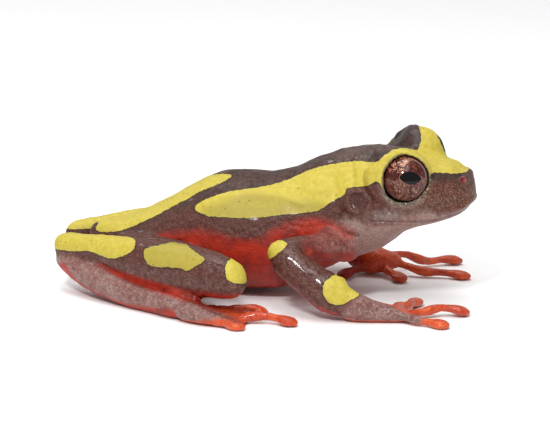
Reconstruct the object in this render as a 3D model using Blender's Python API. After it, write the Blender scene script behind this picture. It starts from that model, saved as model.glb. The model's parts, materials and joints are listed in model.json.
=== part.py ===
"""A life-size still model of a clown tree frog, sitting with its legs folded and its head turned a little.

+X is towards the snout, +Y towards the frog's left side and +Z up. The floor is at Z = 0, and the origin is
under the middle of the frog's bounding box. Sizes are written in millimetres and built in metres.
"""

import math

import bmesh
import bpy
from mathutils import Matrix, Vector

MM = 0.001
GAP = 0.3
SLIVER = 0.006
FLOOR = 0.0
RIGHT = -1
LEFT = 1

# The trunk, from vent to snout. Each row is a station across the body:
# x, half width, belly level, level of the widest point, back level, squareness above, squareness below
TRUNK = (
    (-16.5, 0.25, 4.30, 4.60, 4.90, 2.0, 2.0),
    (-16.2, 1.10, 3.50, 4.45, 5.40, 2.0, 2.0),
    (-15.4, 1.75, 2.85, 4.30, 5.75, 2.0, 2.0),
    (-12.8, 3.10, 1.75, 4.30, 6.45, 2.0, 2.0),
    (-10.7, 3.90, 1.20, 4.35, 7.27, 2.0, 2.0),
    (-8.1, 4.60, 0.80, 4.50, 8.80, 2.0, 2.1),
    (-6.3, 5.00, 0.55, 4.70, 9.80, 2.0, 2.1),
    (-4.5, 5.35, 0.45, 4.70, 10.50, 2.1, 2.1),
    (-2.8, 5.55, 0.38, 4.60, 10.68, 2.1, 2.1),
    (-0.5, 5.65, 0.38, 4.60, 10.60, 2.1, 2.1),
    (0.9, 5.60, 0.50, 4.70, 10.88, 2.1, 2.1),
    (3.8, 5.20, 1.90, 5.30, 11.85, 2.1, 2.1),
    (6.9, 5.10, 3.35, 6.50, 12.95, 2.1, 2.1),
    (8.4, 5.20, 3.90, 7.20, 13.35, 2.1, 2.1),
    (9.9, 5.25, 4.55, 7.70, 13.52, 2.1, 2.1),
    (11.0, 5.18, 5.40, 7.90, 13.40, 2.1, 2.2),
    (12.2, 4.95, 6.50, 8.05, 13.12, 2.2, 2.3),
    (13.5, 4.60, 7.08, 8.25, 12.65, 2.4, 2.4),
    (15.0, 3.95, 7.40, 8.60, 12.34, 2.6, 2.4),
    (16.0, 3.30, 7.65, 8.90, 12.28, 2.7, 2.4),
    (16.7, 2.72, 7.90, 9.15, 12.05, 2.6, 2.4),
    (17.2, 2.15, 8.18, 9.35, 11.72, 2.4, 2.2),
    (17.55, 1.55, 8.52, 9.50, 11.25, 2.2, 2.0),
    (17.85, 0.50, 9.20, 9.70, 10.20, 2.0, 2.0),
)
TRUNK_SIDES = 28
TRUNK_STEP = 1.1
NECK_X = 6.5

# The head is turned and tipped a little towards the right of the frog, from NECK_BEND_FROM forwards.
NECK_BEND_FROM = 4.5
NECK_BEND_TO = 10.0
HEAD_TURN = math.radians(-5.0)
HEAD_TIP = math.radians(4.0)
HEAD_TIP_LEVEL = 8.5

EYE_CENTRE = (12.3, 3.5, 11.62)
EYE_RADIUS = 2.0
EYE_FORWARD = math.radians(25.0)
EYE_UPWARD = math.radians(5.0)
LID_THICKNESS = 0.42
LID_BACK = 0.42
LID_LENGTH = 1.13
LID_OPENING_AT = 0.40
LID_RIM = 0.22

MOUTH = ((8.9, 7.82), (11.0, 7.92), (13.0, 8.10), (15.0, 8.34), (16.3, 8.54), (17.1, 8.72), (17.5, 8.84))
MOUTH_FRONT = (17.78, 8.92)
MOUTH_GROOVE = 0.15
LIP = 0.20
LIP_RISE = 0.24

EAR = (8.2, 9.55)
EAR_RADIUS = 0.95
EAR_RIM = 0.17
NOSTRIL = (17.15, 11.22)
NOSTRIL_RADIUS = 0.26

# How high the middle of a toe's or finger's tip stands above the floor
TIP_LEVEL = 0.30

# Limbs, as stations along each bone: x, y outwards, z, half width across, half height
THIGH = (
    (-13.4, 1.6, 4.10, 1.45, 1.40),
    (-11.6, 3.0, 3.85, 1.95, 1.75),
    (-8.6, 5.6, 3.75, 2.30, 1.90),
    (-5.4, 8.6, 3.75, 2.10, 1.90),
    (-3.0, 10.6, 3.80, 1.50, 1.60),
)
SHANK = (
    (-2.1, 11.9, 3.85, 1.60, 1.78),
    (-4.2, 10.7, 3.95, 1.85, 2.10),
    (-7.4, 8.8, 3.88, 1.95, 2.20),
    (-10.6, 6.9, 3.86, 1.70, 2.00),
    (-13.8, 5.0, 4.12, 1.30, 1.50),
    (-16.4, 3.5, 4.05, 1.15, 1.20),
    (-18.05, 2.5, 3.85, 1.15, 1.22),
)
TARSUS = (
    (-18.0, 2.75, 3.00, 1.05, 1.15),
    (-16.6, 4.0, 2.30, 1.15, 1.25),
    (-14.2, 5.9, 1.62, 1.15, 1.25),
    (-11.4, 7.9, 1.17, 1.08, 1.17),
    (-8.7, 9.6, 1.00, 1.06, 1.05),
    (-6.6, 11.0, 0.93, 1.12, 0.98),
)
# The sole spreads into the web between the first joints of the toes.
SOLE = (
    (-6.1, 11.3, 0.88, 1.14, 0.92),
    (-4.6, 12.0, 0.74, 1.50, 0.78),
    (-3.2, 12.2, 0.58, 1.80, 0.62),
    (-2.0, 12.1, 0.42, 1.85, 0.34),
    (-1.2, 12.0, 0.36, 1.60, 0.22),
)
TOES = (
    ((-5.0, 11.0, 0.55), (-4.3, 9.95, 0.50), (-3.5, 8.7, TIP_LEVEL)),
    ((-4.2, 11.2, 0.60), (-2.7, 10.0, 0.62), (-1.0, 8.4, TIP_LEVEL)),
    ((-3.6, 11.6, 0.60), (-2.2, 10.9, 0.72), (-0.5, 10.1, 0.90), (1.05, 9.7, TIP_LEVEL)),
    ((-3.2, 12.2, 0.60), (-0.8, 12.0, 0.55), (1.3, 11.8, 0.66), (4.0, 12.55, TIP_LEVEL)),
    ((-4.0, 12.9, 0.60), (-2.4, 13.7, 0.50), (-0.2, 14.5, TIP_LEVEL)),
)

RIGHT_UPPER_ARM = (
    (7.0, 3.9, 5.00, 1.25, 1.30),
    (5.6, 5.7, 5.45, 1.20, 1.22),
    (4.2, 7.0, 5.60, 1.12, 1.15),
    (1.95, 8.3, 5.35, 1.18, 1.22),
)
RIGHT_FOREARM = (
    (1.75, 8.5, 5.30, 1.15, 1.20),
    (3.0, 8.8, 4.45, 1.42, 1.45),
    (4.8, 9.2, 3.20, 1.52, 1.58),
    (6.2, 9.45, 2.28, 1.62, 1.74),
    (6.9, 9.6, 1.75, 1.38, 1.46),
)
RIGHT_PALM = (
    (7.2, 9.65, 1.42, 1.18, 1.22),
    (8.8, 9.75, 1.06, 1.08, 1.06),
    (10.6, 9.5, 0.82, 1.05, 0.86),
    (12.0, 9.1, 0.62, 1.20, 0.66),
    (13.0, 8.9, 0.44, 1.15, 0.36),
)
RIGHT_FINGERS = (
    ((11.2, 8.8, 0.60), (11.8, 7.0, 0.66), (12.1, 5.2, TIP_LEVEL)),
    ((12.1, 8.6, 0.60), (12.7, 6.2, 0.66), (13.1, 3.2, TIP_LEVEL)),
    ((12.4, 9.0, 0.60), (14.2, 7.9, 0.58), (15.8, 7.2, 0.84), (18.0, 6.6, TIP_LEVEL)),
    ((12.0, 9.6, 0.60), (13.9, 10.5, 0.52), (16.75, 11.3, TIP_LEVEL)),
)
LEFT_UPPER_ARM = (
    (6.4, 3.9, 5.00, 1.25, 1.30),
    (5.2, 5.7, 5.45, 1.20, 1.22),
    (3.9, 7.2, 5.75, 1.12, 1.15),
    (2.3, 8.8, 5.75, 1.18, 1.22),
)
LEFT_FOREARM = (
    (2.15, 9.1, 5.70, 1.15, 1.20),
    (3.2, 8.9, 4.75, 1.42, 1.45),
    (4.6, 8.5, 3.75, 1.50, 1.50),
    (5.8, 8.0, 2.85, 1.38, 1.42),
    (6.3, 7.75, 2.45, 1.25, 1.32),
)
# The left hand stands up on its fingers, so its palm is short and deep.
LEFT_PALM = (
    (6.4, 7.6, 1.85, 1.20, 1.35),
    (7.4, 7.3, 1.35, 1.40, 1.38),
    (8.5, 7.1, 1.30, 1.42, 1.16),
    (9.4, 7.2, 1.30, 1.25, 0.84),
)
LEFT_FINGERS = (
    ((7.2, 6.7, 0.75), (6.2, 5.6, 0.60), (5.2, 4.2, TIP_LEVEL)),
    ((8.6, 6.5, 0.80), (9.7, 5.3, 0.65), (11.1, 3.8, TIP_LEVEL)),
    ((8.8, 7.1, 1.50), (10.7, 6.8, 1.00), (12.7, 6.5, 0.50), (14.2, 6.5, 0.55), (16.8, 6.2, TIP_LEVEL)),
    ((8.7, 7.7, 1.55), (10.4, 9.3, 1.40), (12.3, 10.5, 0.50), (13.6, 11.2, 0.62), (15.4, 12.0, TIP_LEVEL)),
)

ARMS = {
    RIGHT: (RIGHT_UPPER_ARM, RIGHT_FOREARM, RIGHT_PALM, RIGHT_FINGERS),
    LEFT: (LEFT_UPPER_ARM, LEFT_FOREARM, LEFT_PALM, LEFT_FINGERS),
}

LIMB_SIDES = 14
LIMB_RINGS = 9
DIGIT_SIDES = 8
DIGIT_RINGS = 13
SHAFT_RADIUS = 0.37
KNUCKLE_RADIUS = 0.48
# The disc at the end of each toe and finger, as rows of distance from its tip, half width and half height
DISC = (
    (1.75, 0.38, 0.35),
    (1.38, 0.62, 0.42),
    (0.98, 0.80, 0.44),
    (0.60, 0.80, 0.43),
    (0.25, 0.64, 0.37),
    (0.00, 0.30, 0.20),
)

SKINS = {
    "back": ((0.090, 0.032, 0.030), 0.38),
    "belly": ((0.450, 0.040, 0.018), 0.36),
    "red_limb": ((0.560, 0.060, 0.020), 0.34),
    "eye": ((0.120, 0.030, 0.020), 0.08),
}


def clear_scene():
    for obj in list(bpy.data.objects):
        bpy.data.objects.remove(obj, do_unlink=True)


def collection_named(name, hidden=False):
    made = bpy.data.collections.new(name)
    made.hide_render = hidden
    bpy.context.scene.collection.children.link(made)
    return made


def skin_material(name):
    colour, roughness = SKINS[name]
    made = bpy.data.materials.new("frog_" + name)
    made.use_nodes = True
    shader = made.node_tree.nodes["Principled BSDF"]
    shader.inputs["Base Color"].default_value = (*colour, 1.0)
    shader.inputs["Roughness"].default_value = roughness
    shader.inputs["Metallic"].default_value = 0.0
    return made


def smooth_row(table, x):
    """The row of a table at x, on a smooth curve through its rows. The first column is in order."""
    rising = table[-1][0] > table[0][0]
    rows = table if rising else table[::-1]
    x = min(max(x, rows[0][0]), rows[-1][0])
    at = max(i for i in range(len(rows) - 1) if rows[i][0] <= x)
    here, there = rows[at], rows[at + 1]
    before, after = rows[max(at - 1, 0)], rows[min(at + 2, len(rows) - 1)]
    span = there[0] - here[0]
    t = (x - here[0]) / span
    found = []
    for k in range(1, len(here)):
        slope_here = (there[k] - before[k]) / (there[0] - before[0]) * span
        slope_there = (after[k] - here[k]) / (after[0] - here[0]) * span
        found.append(
            (2 * t**3 - 3 * t**2 + 1) * here[k]
            + (t**3 - 2 * t**2 + t) * slope_here
            + (3 * t**2 - 2 * t**3) * there[k]
            + (t**3 - t**2) * slope_there
        )
    return found


def place(obj, into):
    """Moves a new object from where Blender put it to its own collection."""
    for holder in list(obj.users_collection):
        holder.objects.unlink(obj)
    into.objects.link(obj)
    return obj


def put_down(obj):
    """Writes an object's place and size into its mesh."""
    obj.data.transform(obj.matrix_basis)
    obj.matrix_basis = Matrix.Identity(4)


def loft(name, rings, into):
    """A closed body through rings of points in millimetres that all have the same count, with flat ends."""
    count = len(rings[0])
    work = bmesh.new()
    corners = [[work.verts.new(Vector(point) * MM) for point in ring] for ring in rings]
    for here, there in zip(corners, corners[1:]):
        for i in range(count):
            j = (i + 1) % count
            work.faces.new((here[i], here[j], there[j], there[i]))
    work.faces.new(corners[0])
    work.faces.new(corners[-1])
    bmesh.ops.recalc_face_normals(work, faces=work.faces)
    mesh = bpy.data.meshes.new(name)
    work.to_mesh(mesh)
    work.free()
    return place(bpy.data.objects.new(name, mesh), into)


def squared(angle, power):
    """A point of a rounded square of half size 1: power 2 is a circle, and more is squarer."""
    c, s = math.cos(angle), math.sin(angle)
    return math.copysign(abs(c) ** (2 / power), c), math.copysign(abs(s) ** (2 / power), s)


def trunk_section(x, grow=0.0):
    """Half width, lowest, widest and highest level and the two squarenesses of the trunk at x."""
    half, low, wide, high, above, below = smooth_row(TRUNK, x)
    return half + grow, low - grow, wide, high + grow, above, below


def trunk_side(x, z):
    """How far out the trunk's surface is at a place along it and a height."""
    half, low, wide, high, above, below = trunk_section(x)
    reach, power = (high - wide, above) if z > wide else (wide - low, below)
    return half * max(0.0, 1 - (abs(z - wide) / reach) ** power) ** (1 / power)


def bent_neck(point):
    """Where a point of the unturned trunk goes once the head is turned and tipped."""
    x, y, z = point
    t = min(max((x - NECK_BEND_FROM) / (NECK_BEND_TO - NECK_BEND_FROM), 0.0), 1.0)
    share = t * t * (3 - 2 * t)
    moved = Vector((x - NECK_BEND_FROM, y, z - HEAD_TIP_LEVEL))
    moved = Matrix.Rotation(HEAD_TURN * share, 3, "Z") @ Matrix.Rotation(HEAD_TIP * share, 3, "X") @ moved
    return moved + Vector((NECK_BEND_FROM, 0, HEAD_TIP_LEVEL))


def turn_with_head(obj):
    for vertex in obj.data.vertices:
        vertex.co = bent_neck(vertex.co / MM) * MM


def trunk_stations(first, last):
    """Places along the trunk between two ends, close together where it ends in the snout or the vent."""
    inner = [row[0] for row in TRUNK if first < row[0] < last]
    places = [first, *inner, last]
    filled = []
    for here, there in zip(places, places[1:]):
        pieces = max(1, round((there - here) / TRUNK_STEP))
        filled += [here + (there - here) * i / pieces for i in range(pieces)]
    return [*filled, last]


def trunk_piece(name, first, last, into, grow=0.0, sides=TRUNK_SIDES):
    rings = []
    for x in trunk_stations(first, last):
        half, low, wide, high, above, below = trunk_section(x, grow)
        ring = []
        for i in range(sides):
            angle = 2 * math.pi * i / sides
            across, up = squared(angle, above if math.sin(angle) > 0 else below)
            ring.append((x, half * across, wide + up * ((high - wide) if up > 0 else (wide - low))))
        rings.append(ring)
    return loft(name, rings, into)


def path_rings(stations, count, sides, grow=0.0, rounded=(True, True)):
    """Rings along a bone. Each station is x, y, z, half width, half height. Rounded ends close in a dome."""
    stations = [tuple(float(v) for v in s) for s in stations]
    lengths = [0.0]
    for here, there in zip(stations, stations[1:]):
        lengths.append(lengths[-1] + (Vector(there[:3]) - Vector(here[:3])).length)
    table = [(s, *row) for s, row in zip(lengths, stations)]
    total = lengths[-1]

    def frame(s):
        ahead = Vector(smooth_row(table, min(s + 0.05, total))[:3])
        behind = Vector(smooth_row(table, max(s - 0.05, 0.0))[:3])
        along = (ahead - behind).normalized()
        side = along.cross(Vector((0, 0, 1))).normalized()
        return along, side, side.cross(along)

    places = [(total * i / (count - 1), 0.0, 1.0) for i in range(count)]
    dome = [(math.sin(a), math.cos(a)) for a in (math.radians(d) for d in (32, 60, 82))]
    reach_start = (stations[0][3] + stations[0][4]) / 2 + grow
    reach_end = (stations[-1][3] + stations[-1][4]) / 2 + grow
    if rounded[0]:
        places = [(0.0, -reach_start * out, size) for out, size in reversed(dome)] + places
    if rounded[1]:
        places += [(total, reach_end * out, size) for out, size in dome]
    rings = []
    for s, beyond, size in places:
        row = smooth_row(table, s)
        along, side, up = frame(s)
        centre = Vector(row[:3]) + along * beyond
        half, tall = (row[3] + grow) * size, (row[4] + grow) * size
        turn = [2 * math.pi * i / sides for i in range(sides)]
        rings.append([centre + side * (half * math.cos(a)) + up * (tall * math.sin(a)) for a in turn])
    return rings


def on_side(stations, side):
    """Stations given outwards in y, put on the frog's left or right."""
    return [(row[0], row[1] * side, *row[2:]) for row in stations]


def limb(name, stations, side, into, grow=0.0, count=LIMB_RINGS, sides=LIMB_SIDES):
    return loft(name, path_rings(on_side(stations, side), count, sides, grow), into)


def digit_stations(points):
    """A toe or finger with its knuckles and the disc at its tip, as stations along it."""
    points = [Vector(p) for p in points]
    lengths = [0.0]
    for here, there in zip(points, points[1:]):
        lengths.append(lengths[-1] + (there - here).length)
    table = [(s, *p) for s, p in zip(lengths, points)]
    total = lengths[-1]
    shaft_end = total - DISC[0][0]
    rows = [(0.0, KNUCKLE_RADIUS, KNUCKLE_RADIUS)]
    for share in (0.2, 0.42, 0.60, 0.78):
        radius = KNUCKLE_RADIUS if share == 0.60 else SHAFT_RADIUS
        rows.append((shaft_end * share, radius, radius))
    rows += [(total - from_tip, half, tall) for from_tip, half, tall in DISC]
    return [(*smooth_row(table, s), half, tall) for s, half, tall in rows]


def digit(name, points, side, into):
    stations = on_side(digit_stations(points), side)
    rings = path_rings(stations, DIGIT_RINGS, DIGIT_SIDES, rounded=(True, False))
    return loft(name, rings, into)


def ball(name, centre, radius, into, segments=22, rings=12):
    bpy.ops.mesh.primitive_uv_sphere_add(
        segments=segments, ring_count=rings, radius=radius * MM, location=Vector(centre) * MM
    )
    obj = place(bpy.context.object, into)
    obj.name = name
    put_down(obj)
    return obj


def round_ring(name, centre, axis, radius, thickness, into, around, section):
    bpy.ops.mesh.primitive_torus_add(
        major_radius=radius * MM,
        minor_radius=thickness * MM,
        major_segments=around,
        minor_segments=section,
        location=Vector(centre) * MM,
        rotation=Vector(axis).to_track_quat("Z", "Y").to_euler(),
    )
    obj = place(bpy.context.object, into)
    obj.name = name
    put_down(obj)
    return obj


def bead(name, route, radius, into):
    """A round bead along a route, made as a bevelled curve and turned into a closed mesh."""
    curve = bpy.data.curves.new(name, "CURVE")
    curve.dimensions = "3D"
    curve.bevel_depth = radius * MM
    curve.bevel_resolution = 1
    curve.use_fill_caps = True
    spline = curve.splines.new("POLY")
    spline.points.add(len(route) - 1)
    for point, at in zip(spline.points, route):
        point.co = (*(Vector(at) * MM), 1.0)
    drawn = place(bpy.data.objects.new(name + "_curve", curve), into)
    graph = bpy.context.evaluated_depsgraph_get()
    mesh = bpy.data.meshes.new_from_object(drawn.evaluated_get(graph))
    work = bmesh.new()
    work.from_mesh(mesh)
    bmesh.ops.remove_doubles(work, verts=work.verts, dist=1e-6)
    bmesh.ops.recalc_face_normals(work, faces=work.faces)
    work.to_mesh(mesh)
    work.free()
    bpy.data.objects.remove(drawn, do_unlink=True)
    return place(bpy.data.objects.new(name, mesh), into)


def apply_modifiers(obj):
    graph = bpy.context.evaluated_depsgraph_get()
    mesh = bpy.data.meshes.new_from_object(obj.evaluated_get(graph))
    obj.modifiers.clear()
    obj.data = mesh


def keep_largest(obj):
    """Leaves only the largest closed surface and joins points that all but meet."""
    work = bmesh.new()
    work.from_mesh(obj.data)
    work.verts.ensure_lookup_table()
    seen, groups = set(), []
    for start in work.verts:
        if start.index in seen:
            continue
        group, edge = [], [start]
        seen.add(start.index)
        while edge:
            vertex = edge.pop()
            group.append(vertex)
            for link in vertex.link_edges:
                other = link.other_vert(vertex)
                if other.index not in seen:
                    seen.add(other.index)
                    edge.append(other)
        groups.append(group)
    groups.sort(key=len, reverse=True)
    bmesh.ops.delete(work, geom=[v for group in groups[1:] for v in group], context="VERTS")
    bmesh.ops.remove_doubles(work, verts=work.verts, dist=SLIVER * MM)
    work.to_mesh(obj.data)
    work.free()


def combine(obj, others, operation):
    """Joins closed mesh objects to one, or cuts them from it, and removes them."""
    tools = bpy.data.collections.new(obj.name + "_tools")
    for other in others:
        for holder in list(other.users_collection):
            holder.objects.unlink(other)
        tools.objects.link(other)
    bpy.context.scene.collection.children.link(tools)
    step = obj.modifiers.new("combine", "BOOLEAN")
    step.operation = operation
    step.operand_type = "COLLECTION"
    step.collection = tools
    step.solver = "EXACT"
    apply_modifiers(obj)
    for other in others:
        bpy.data.objects.remove(other, do_unlink=True)
    bpy.data.collections.remove(tools)
    keep_largest(obj)


def join_to(obj, others):
    combine(obj, others, "UNION")


def cut_from(obj, others):
    combine(obj, others, "DIFFERENCE")


def floor_block(into):
    """Everything below the floor, so that feet and hands rest on small flats at one level."""
    bpy.ops.mesh.primitive_cube_add(size=80 * MM, location=(0, 0, (FLOOR - 40) * MM))
    obj = place(bpy.context.object, into)
    obj.name = "floor_block"
    put_down(obj)
    return obj


def eye_centre(side):
    return bent_neck((EYE_CENTRE[0], EYE_CENTRE[1] * side, EYE_CENTRE[2]))


def eye_axis(side):
    """The way an eye looks: outwards, and a little forwards and up."""
    level = math.cos(EYE_UPWARD)
    outwards = side * math.cos(EYE_FORWARD)
    axis = Vector((math.sin(EYE_FORWARD) * level, outwards * level, math.sin(EYE_UPWARD)))
    return Matrix.Rotation(HEAD_TURN, 3, "Z") @ Matrix.Rotation(HEAD_TIP, 3, "X") @ axis


def eye(side, into):
    name = "eye_right" if side == RIGHT else "eye_left"
    return ball(name, eye_centre(side), EYE_RADIUS, into)


def eye_mound(side, into):
    """The raised lid over an eye, drawn out backwards, and open on the side where the eye looks out."""
    obj = ball("eye_mound", (0, 0, 0), EYE_RADIUS + GAP + LID_THICKNESS, into)
    shape = Matrix.Translation(eye_centre(side) * MM) @ Matrix.Rotation(HEAD_TURN, 4, "Z")
    shape @= Matrix.Translation((-LID_BACK * MM, 0, 0)) @ Matrix.Diagonal((LID_LENGTH, 1, 1, 1))
    obj.data.transform(shape)
    axis = eye_axis(side)
    work = bmesh.new()
    work.from_mesh(obj.data)
    cut = bmesh.ops.bisect_plane(
        work,
        geom=[*work.verts, *work.edges, *work.faces],
        plane_co=(eye_centre(side) + axis * LID_OPENING_AT) * MM,
        plane_no=axis,
        clear_outer=True,
    )
    rim = [g for g in cut["geom_cut"] if isinstance(g, bmesh.types.BMEdge)]
    bmesh.ops.contextual_create(work, geom=rim)
    bmesh.ops.recalc_face_normals(work, faces=work.faces)
    work.to_mesh(obj.data)
    work.free()
    return obj


def lid_rim(side, into):
    """The rounded edge of both lids, round the eye."""
    socket = EYE_RADIUS + GAP
    ring = math.sqrt(socket**2 - LID_OPENING_AT**2) + LID_RIM * 0.5
    centre = eye_centre(side) + eye_axis(side) * (LID_OPENING_AT - 0.05)
    return round_ring("lid_rim", centre, eye_axis(side), ring, LID_RIM, into, 24, 6)


def mouth_bead(name, radius, rise, into):
    """A bead along the mouth, from one corner round the snout to the other, on the surface of the head."""
    right = [(x, -trunk_side(x, z + rise), z + rise) for x, z in MOUTH]
    left = [(x, -y, z) for x, y, z in reversed(right)]
    corners = [bent_neck(p) for p in (*right, (MOUTH_FRONT[0], 0.0, MOUTH_FRONT[1] + rise), *left)]
    table = [(i, *p) for i, p in enumerate(corners)]
    steps = 2 * (len(corners) - 1)
    return bead(name, [smooth_row(table, i / 2) for i in range(steps + 1)], radius, into)


def ear_rim(side, into):
    x, z = EAR
    centre = bent_neck((x, side * trunk_side(x, z), z))
    axis = Vector((-0.06, side, 0.16)).normalized()
    return round_ring("ear_rim", centre, axis, EAR_RADIUS, EAR_RIM, into, 18, 6)


def nostril(side, into):
    x, z = NOSTRIL
    return ball("nostril", bent_neck((x, side * trunk_side(x, z), z)), NOSTRIL_RADIUS, into, 8, 6)


def head(into, helpers):
    obj = trunk_piece("head", NECK_X + GAP / 2, TRUNK[-1][0], into)
    turn_with_head(obj)
    added = [mouth_bead("lip", LIP, LIP_RISE, helpers)]
    removed = [mouth_bead("mouth", MOUTH_GROOVE, 0.0, helpers)]
    for side in (RIGHT, LEFT):
        added += [eye_mound(side, helpers), lid_rim(side, helpers), ear_rim(side, helpers)]
        removed += [
            ball("socket", eye_centre(side), EYE_RADIUS + GAP, helpers),
            nostril(side, helpers),
        ]
    join_to(obj, added)
    cut_from(obj, removed)
    return obj


def torso(into):
    obj = trunk_piece("torso", TRUNK[0][0], NECK_X - GAP / 2, into)
    turn_with_head(obj)
    return obj


def trunk_cutter(helpers):
    """The whole trunk grown by the gap, for cutting limbs back from it."""
    obj = trunk_piece("trunk_cutter", TRUNK[0][0], TRUNK[-1][0], helpers, GAP, 22)
    turn_with_head(obj)
    return obj


def hind_leg(side, into, helpers):
    word = "right" if side == RIGHT else "left"
    thigh = limb("thigh_" + word, THIGH, side, into)
    shank = limb("shank_" + word, SHANK, side, into, count=11)
    tarsus = limb("tarsus_" + word, TARSUS, side, into)
    foot = limb("foot_" + word, SOLE, side, into, count=7)
    join_to(foot, [digit("toe", points, side, helpers) for points in TOES])
    cut_from(shank, [trunk_cutter(helpers)])
    cut_from(thigh, [trunk_cutter(helpers), limb("shank_cutter", SHANK, side, helpers, GAP, 11)])
    cut_from(tarsus, [limb("shank_cutter", SHANK, side, helpers, GAP, 11), floor_block(helpers)])
    cut_from(
        foot,
        [
            limb("tarsus_cutter", TARSUS, side, helpers, GAP),
            limb("shank_cutter", SHANK, side, helpers, GAP, 11),
            floor_block(helpers),
        ],
    )
    return {thigh: "back", shank: "back", tarsus: "back", foot: "red_limb"}


def fore_leg(side, into, helpers):
    word = "right" if side == RIGHT else "left"
    arm_shape, forearm_shape, palm_shape, finger_points = ARMS[side]
    upper = limb("upper_arm_" + word, arm_shape, side, into)
    forearm = limb("forearm_" + word, forearm_shape, side, into)
    hand = limb("hand_" + word, palm_shape, side, into, count=8)
    join_to(hand, [digit("finger", points, side, helpers) for points in finger_points])
    cut_from(upper, [trunk_cutter(helpers)])
    arm_cutter = limb("arm_cutter", arm_shape, side, helpers, GAP)
    cut_from(forearm, [trunk_cutter(helpers), arm_cutter, floor_block(helpers)])
    cut_from(hand, [limb("forearm_cutter", forearm_shape, side, helpers, GAP), floor_block(helpers)])
    return {upper: "back", forearm: "back", hand: "red_limb"}


def finish(parts):
    """Gives each piece its skin, and puts the origin on the floor under the middle of the frog."""
    bpy.context.view_layer.update()
    corners = [obj.matrix_world @ vertex.co for obj in parts for vertex in obj.data.vertices]
    middle = [(min(c[k] for c in corners) + max(c[k] for c in corners)) / 2 for k in range(2)]
    shift = Matrix.Translation((-middle[0], -middle[1], -FLOOR * MM))
    skins = {name: skin_material(name) for name in SKINS}
    for obj, skin in parts.items():
        obj.data.transform(shift)
        obj.data.materials.clear()
        obj.data.materials.append(skins[skin])
        obj.data.shade_smooth()


def main():
    clear_scene()
    frog = collection_named("clown_tree_frog")
    helpers = collection_named("helpers", hidden=True)
    parts = {torso(frog): "belly", head(frog, helpers): "back"}
    for side in (RIGHT, LEFT):
        parts[eye(side, frog)] = "eye"
        parts.update(fore_leg(side, frog, helpers))
        parts.update(hind_leg(side, frog, helpers))
    finish(parts)


main()
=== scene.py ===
import math
from types import SimpleNamespace

import bpy
import numpy as np
from mathutils import Matrix, Vector, kdtree, noise
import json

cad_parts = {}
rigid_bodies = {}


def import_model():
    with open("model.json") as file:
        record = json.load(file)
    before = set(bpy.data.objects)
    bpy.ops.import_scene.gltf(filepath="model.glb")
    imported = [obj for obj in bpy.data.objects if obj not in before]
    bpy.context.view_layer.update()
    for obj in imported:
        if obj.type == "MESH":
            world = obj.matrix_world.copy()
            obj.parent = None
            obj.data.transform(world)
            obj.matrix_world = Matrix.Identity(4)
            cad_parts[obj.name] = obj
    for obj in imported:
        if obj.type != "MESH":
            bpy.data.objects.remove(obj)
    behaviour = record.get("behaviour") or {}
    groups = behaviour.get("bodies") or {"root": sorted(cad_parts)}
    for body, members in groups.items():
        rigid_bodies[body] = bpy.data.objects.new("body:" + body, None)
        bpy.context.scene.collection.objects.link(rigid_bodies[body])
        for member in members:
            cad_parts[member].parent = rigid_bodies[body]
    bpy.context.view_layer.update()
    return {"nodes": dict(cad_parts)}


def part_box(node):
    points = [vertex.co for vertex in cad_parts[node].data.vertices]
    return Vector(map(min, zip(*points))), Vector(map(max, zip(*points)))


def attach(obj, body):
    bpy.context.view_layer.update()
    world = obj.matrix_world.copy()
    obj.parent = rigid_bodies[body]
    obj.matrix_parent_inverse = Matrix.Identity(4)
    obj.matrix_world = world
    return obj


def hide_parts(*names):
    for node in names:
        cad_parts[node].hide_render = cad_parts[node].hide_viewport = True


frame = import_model()
mm = 0.001
sides = {"right": -1, "left": 1}

# The camera stands at the frog's right, a little to the front and above.
view = {
    "target": (0.65, 0.0, 6.3),
    "azimuth": 9.0,
    "height": 13.0,
    "distance": 300.0,
    "lens": 223.9,
    "sensor": 36.0,
    "photoSize": (550, 440),
}

# How the head is turned on the neck, with the places of its features on the unturned head.
head = {
    "neck": 6.5,
    "neckGap": 0.3,
    "bendFrom": 4.5,
    "bendTo": 10.0,
    "turn": -5.0,
    "tip": 4.0,
    "tipLevel": 8.5,
    "eye": (12.3, 3.5, 11.62),
    "eyeForward": 25.0,
    "eyeUpward": 5.0,
    "earRadius": 0.95,
    "gazeForward": 15.0,
    "gazeUpward": 17.0,
    # How far forward the skull, the crown's yellow, the face, the snout and the jaw's fold begin
    "starts": 6.8,
    "crown": 9.0,
    "face": 8.0,
    "snout": 14.0,
    "jaw": 5.0,
    "cheekOut": 2.0,  # how far from the middle the cheeks and the nostrils lie at least
    "nostrilOut": 0.4,
}
neckPivot = np.array([head["bendFrom"], 0.0, head["tipLevel"]])

# Places read off the photograph, in its pixels
mouthLine = (
    (364, 220.5), (380, 221.8), (397, 222), (414, 222), (433, 220.4), (447, 217), (464, 210.5),
    (474, 203), (478, 199),
)
earPlace = (358.6, 201.6)
nostrilPlace = (463.3, 179.5)
nearFolds = (((351, 163), (353, 180), (352, 194)), ((372, 163), (371, 182)), ((332, 170), (334, 196)))
jawFold = ((344, 213), (339.5, 218), (338.5, 224), (341, 229.5), (348, 233.5), (358, 236))
sideRidge = (
    (205, 205), (214, 200), (225, 196.5), (240, 195), (255, 194.5), (270, 195.3), (282, 196.5),
    (292, 200), (303, 205),
)
tarsusRidge = ((150, 289), (175, 297), (195, 306), (215, 316), (232, 323))
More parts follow.
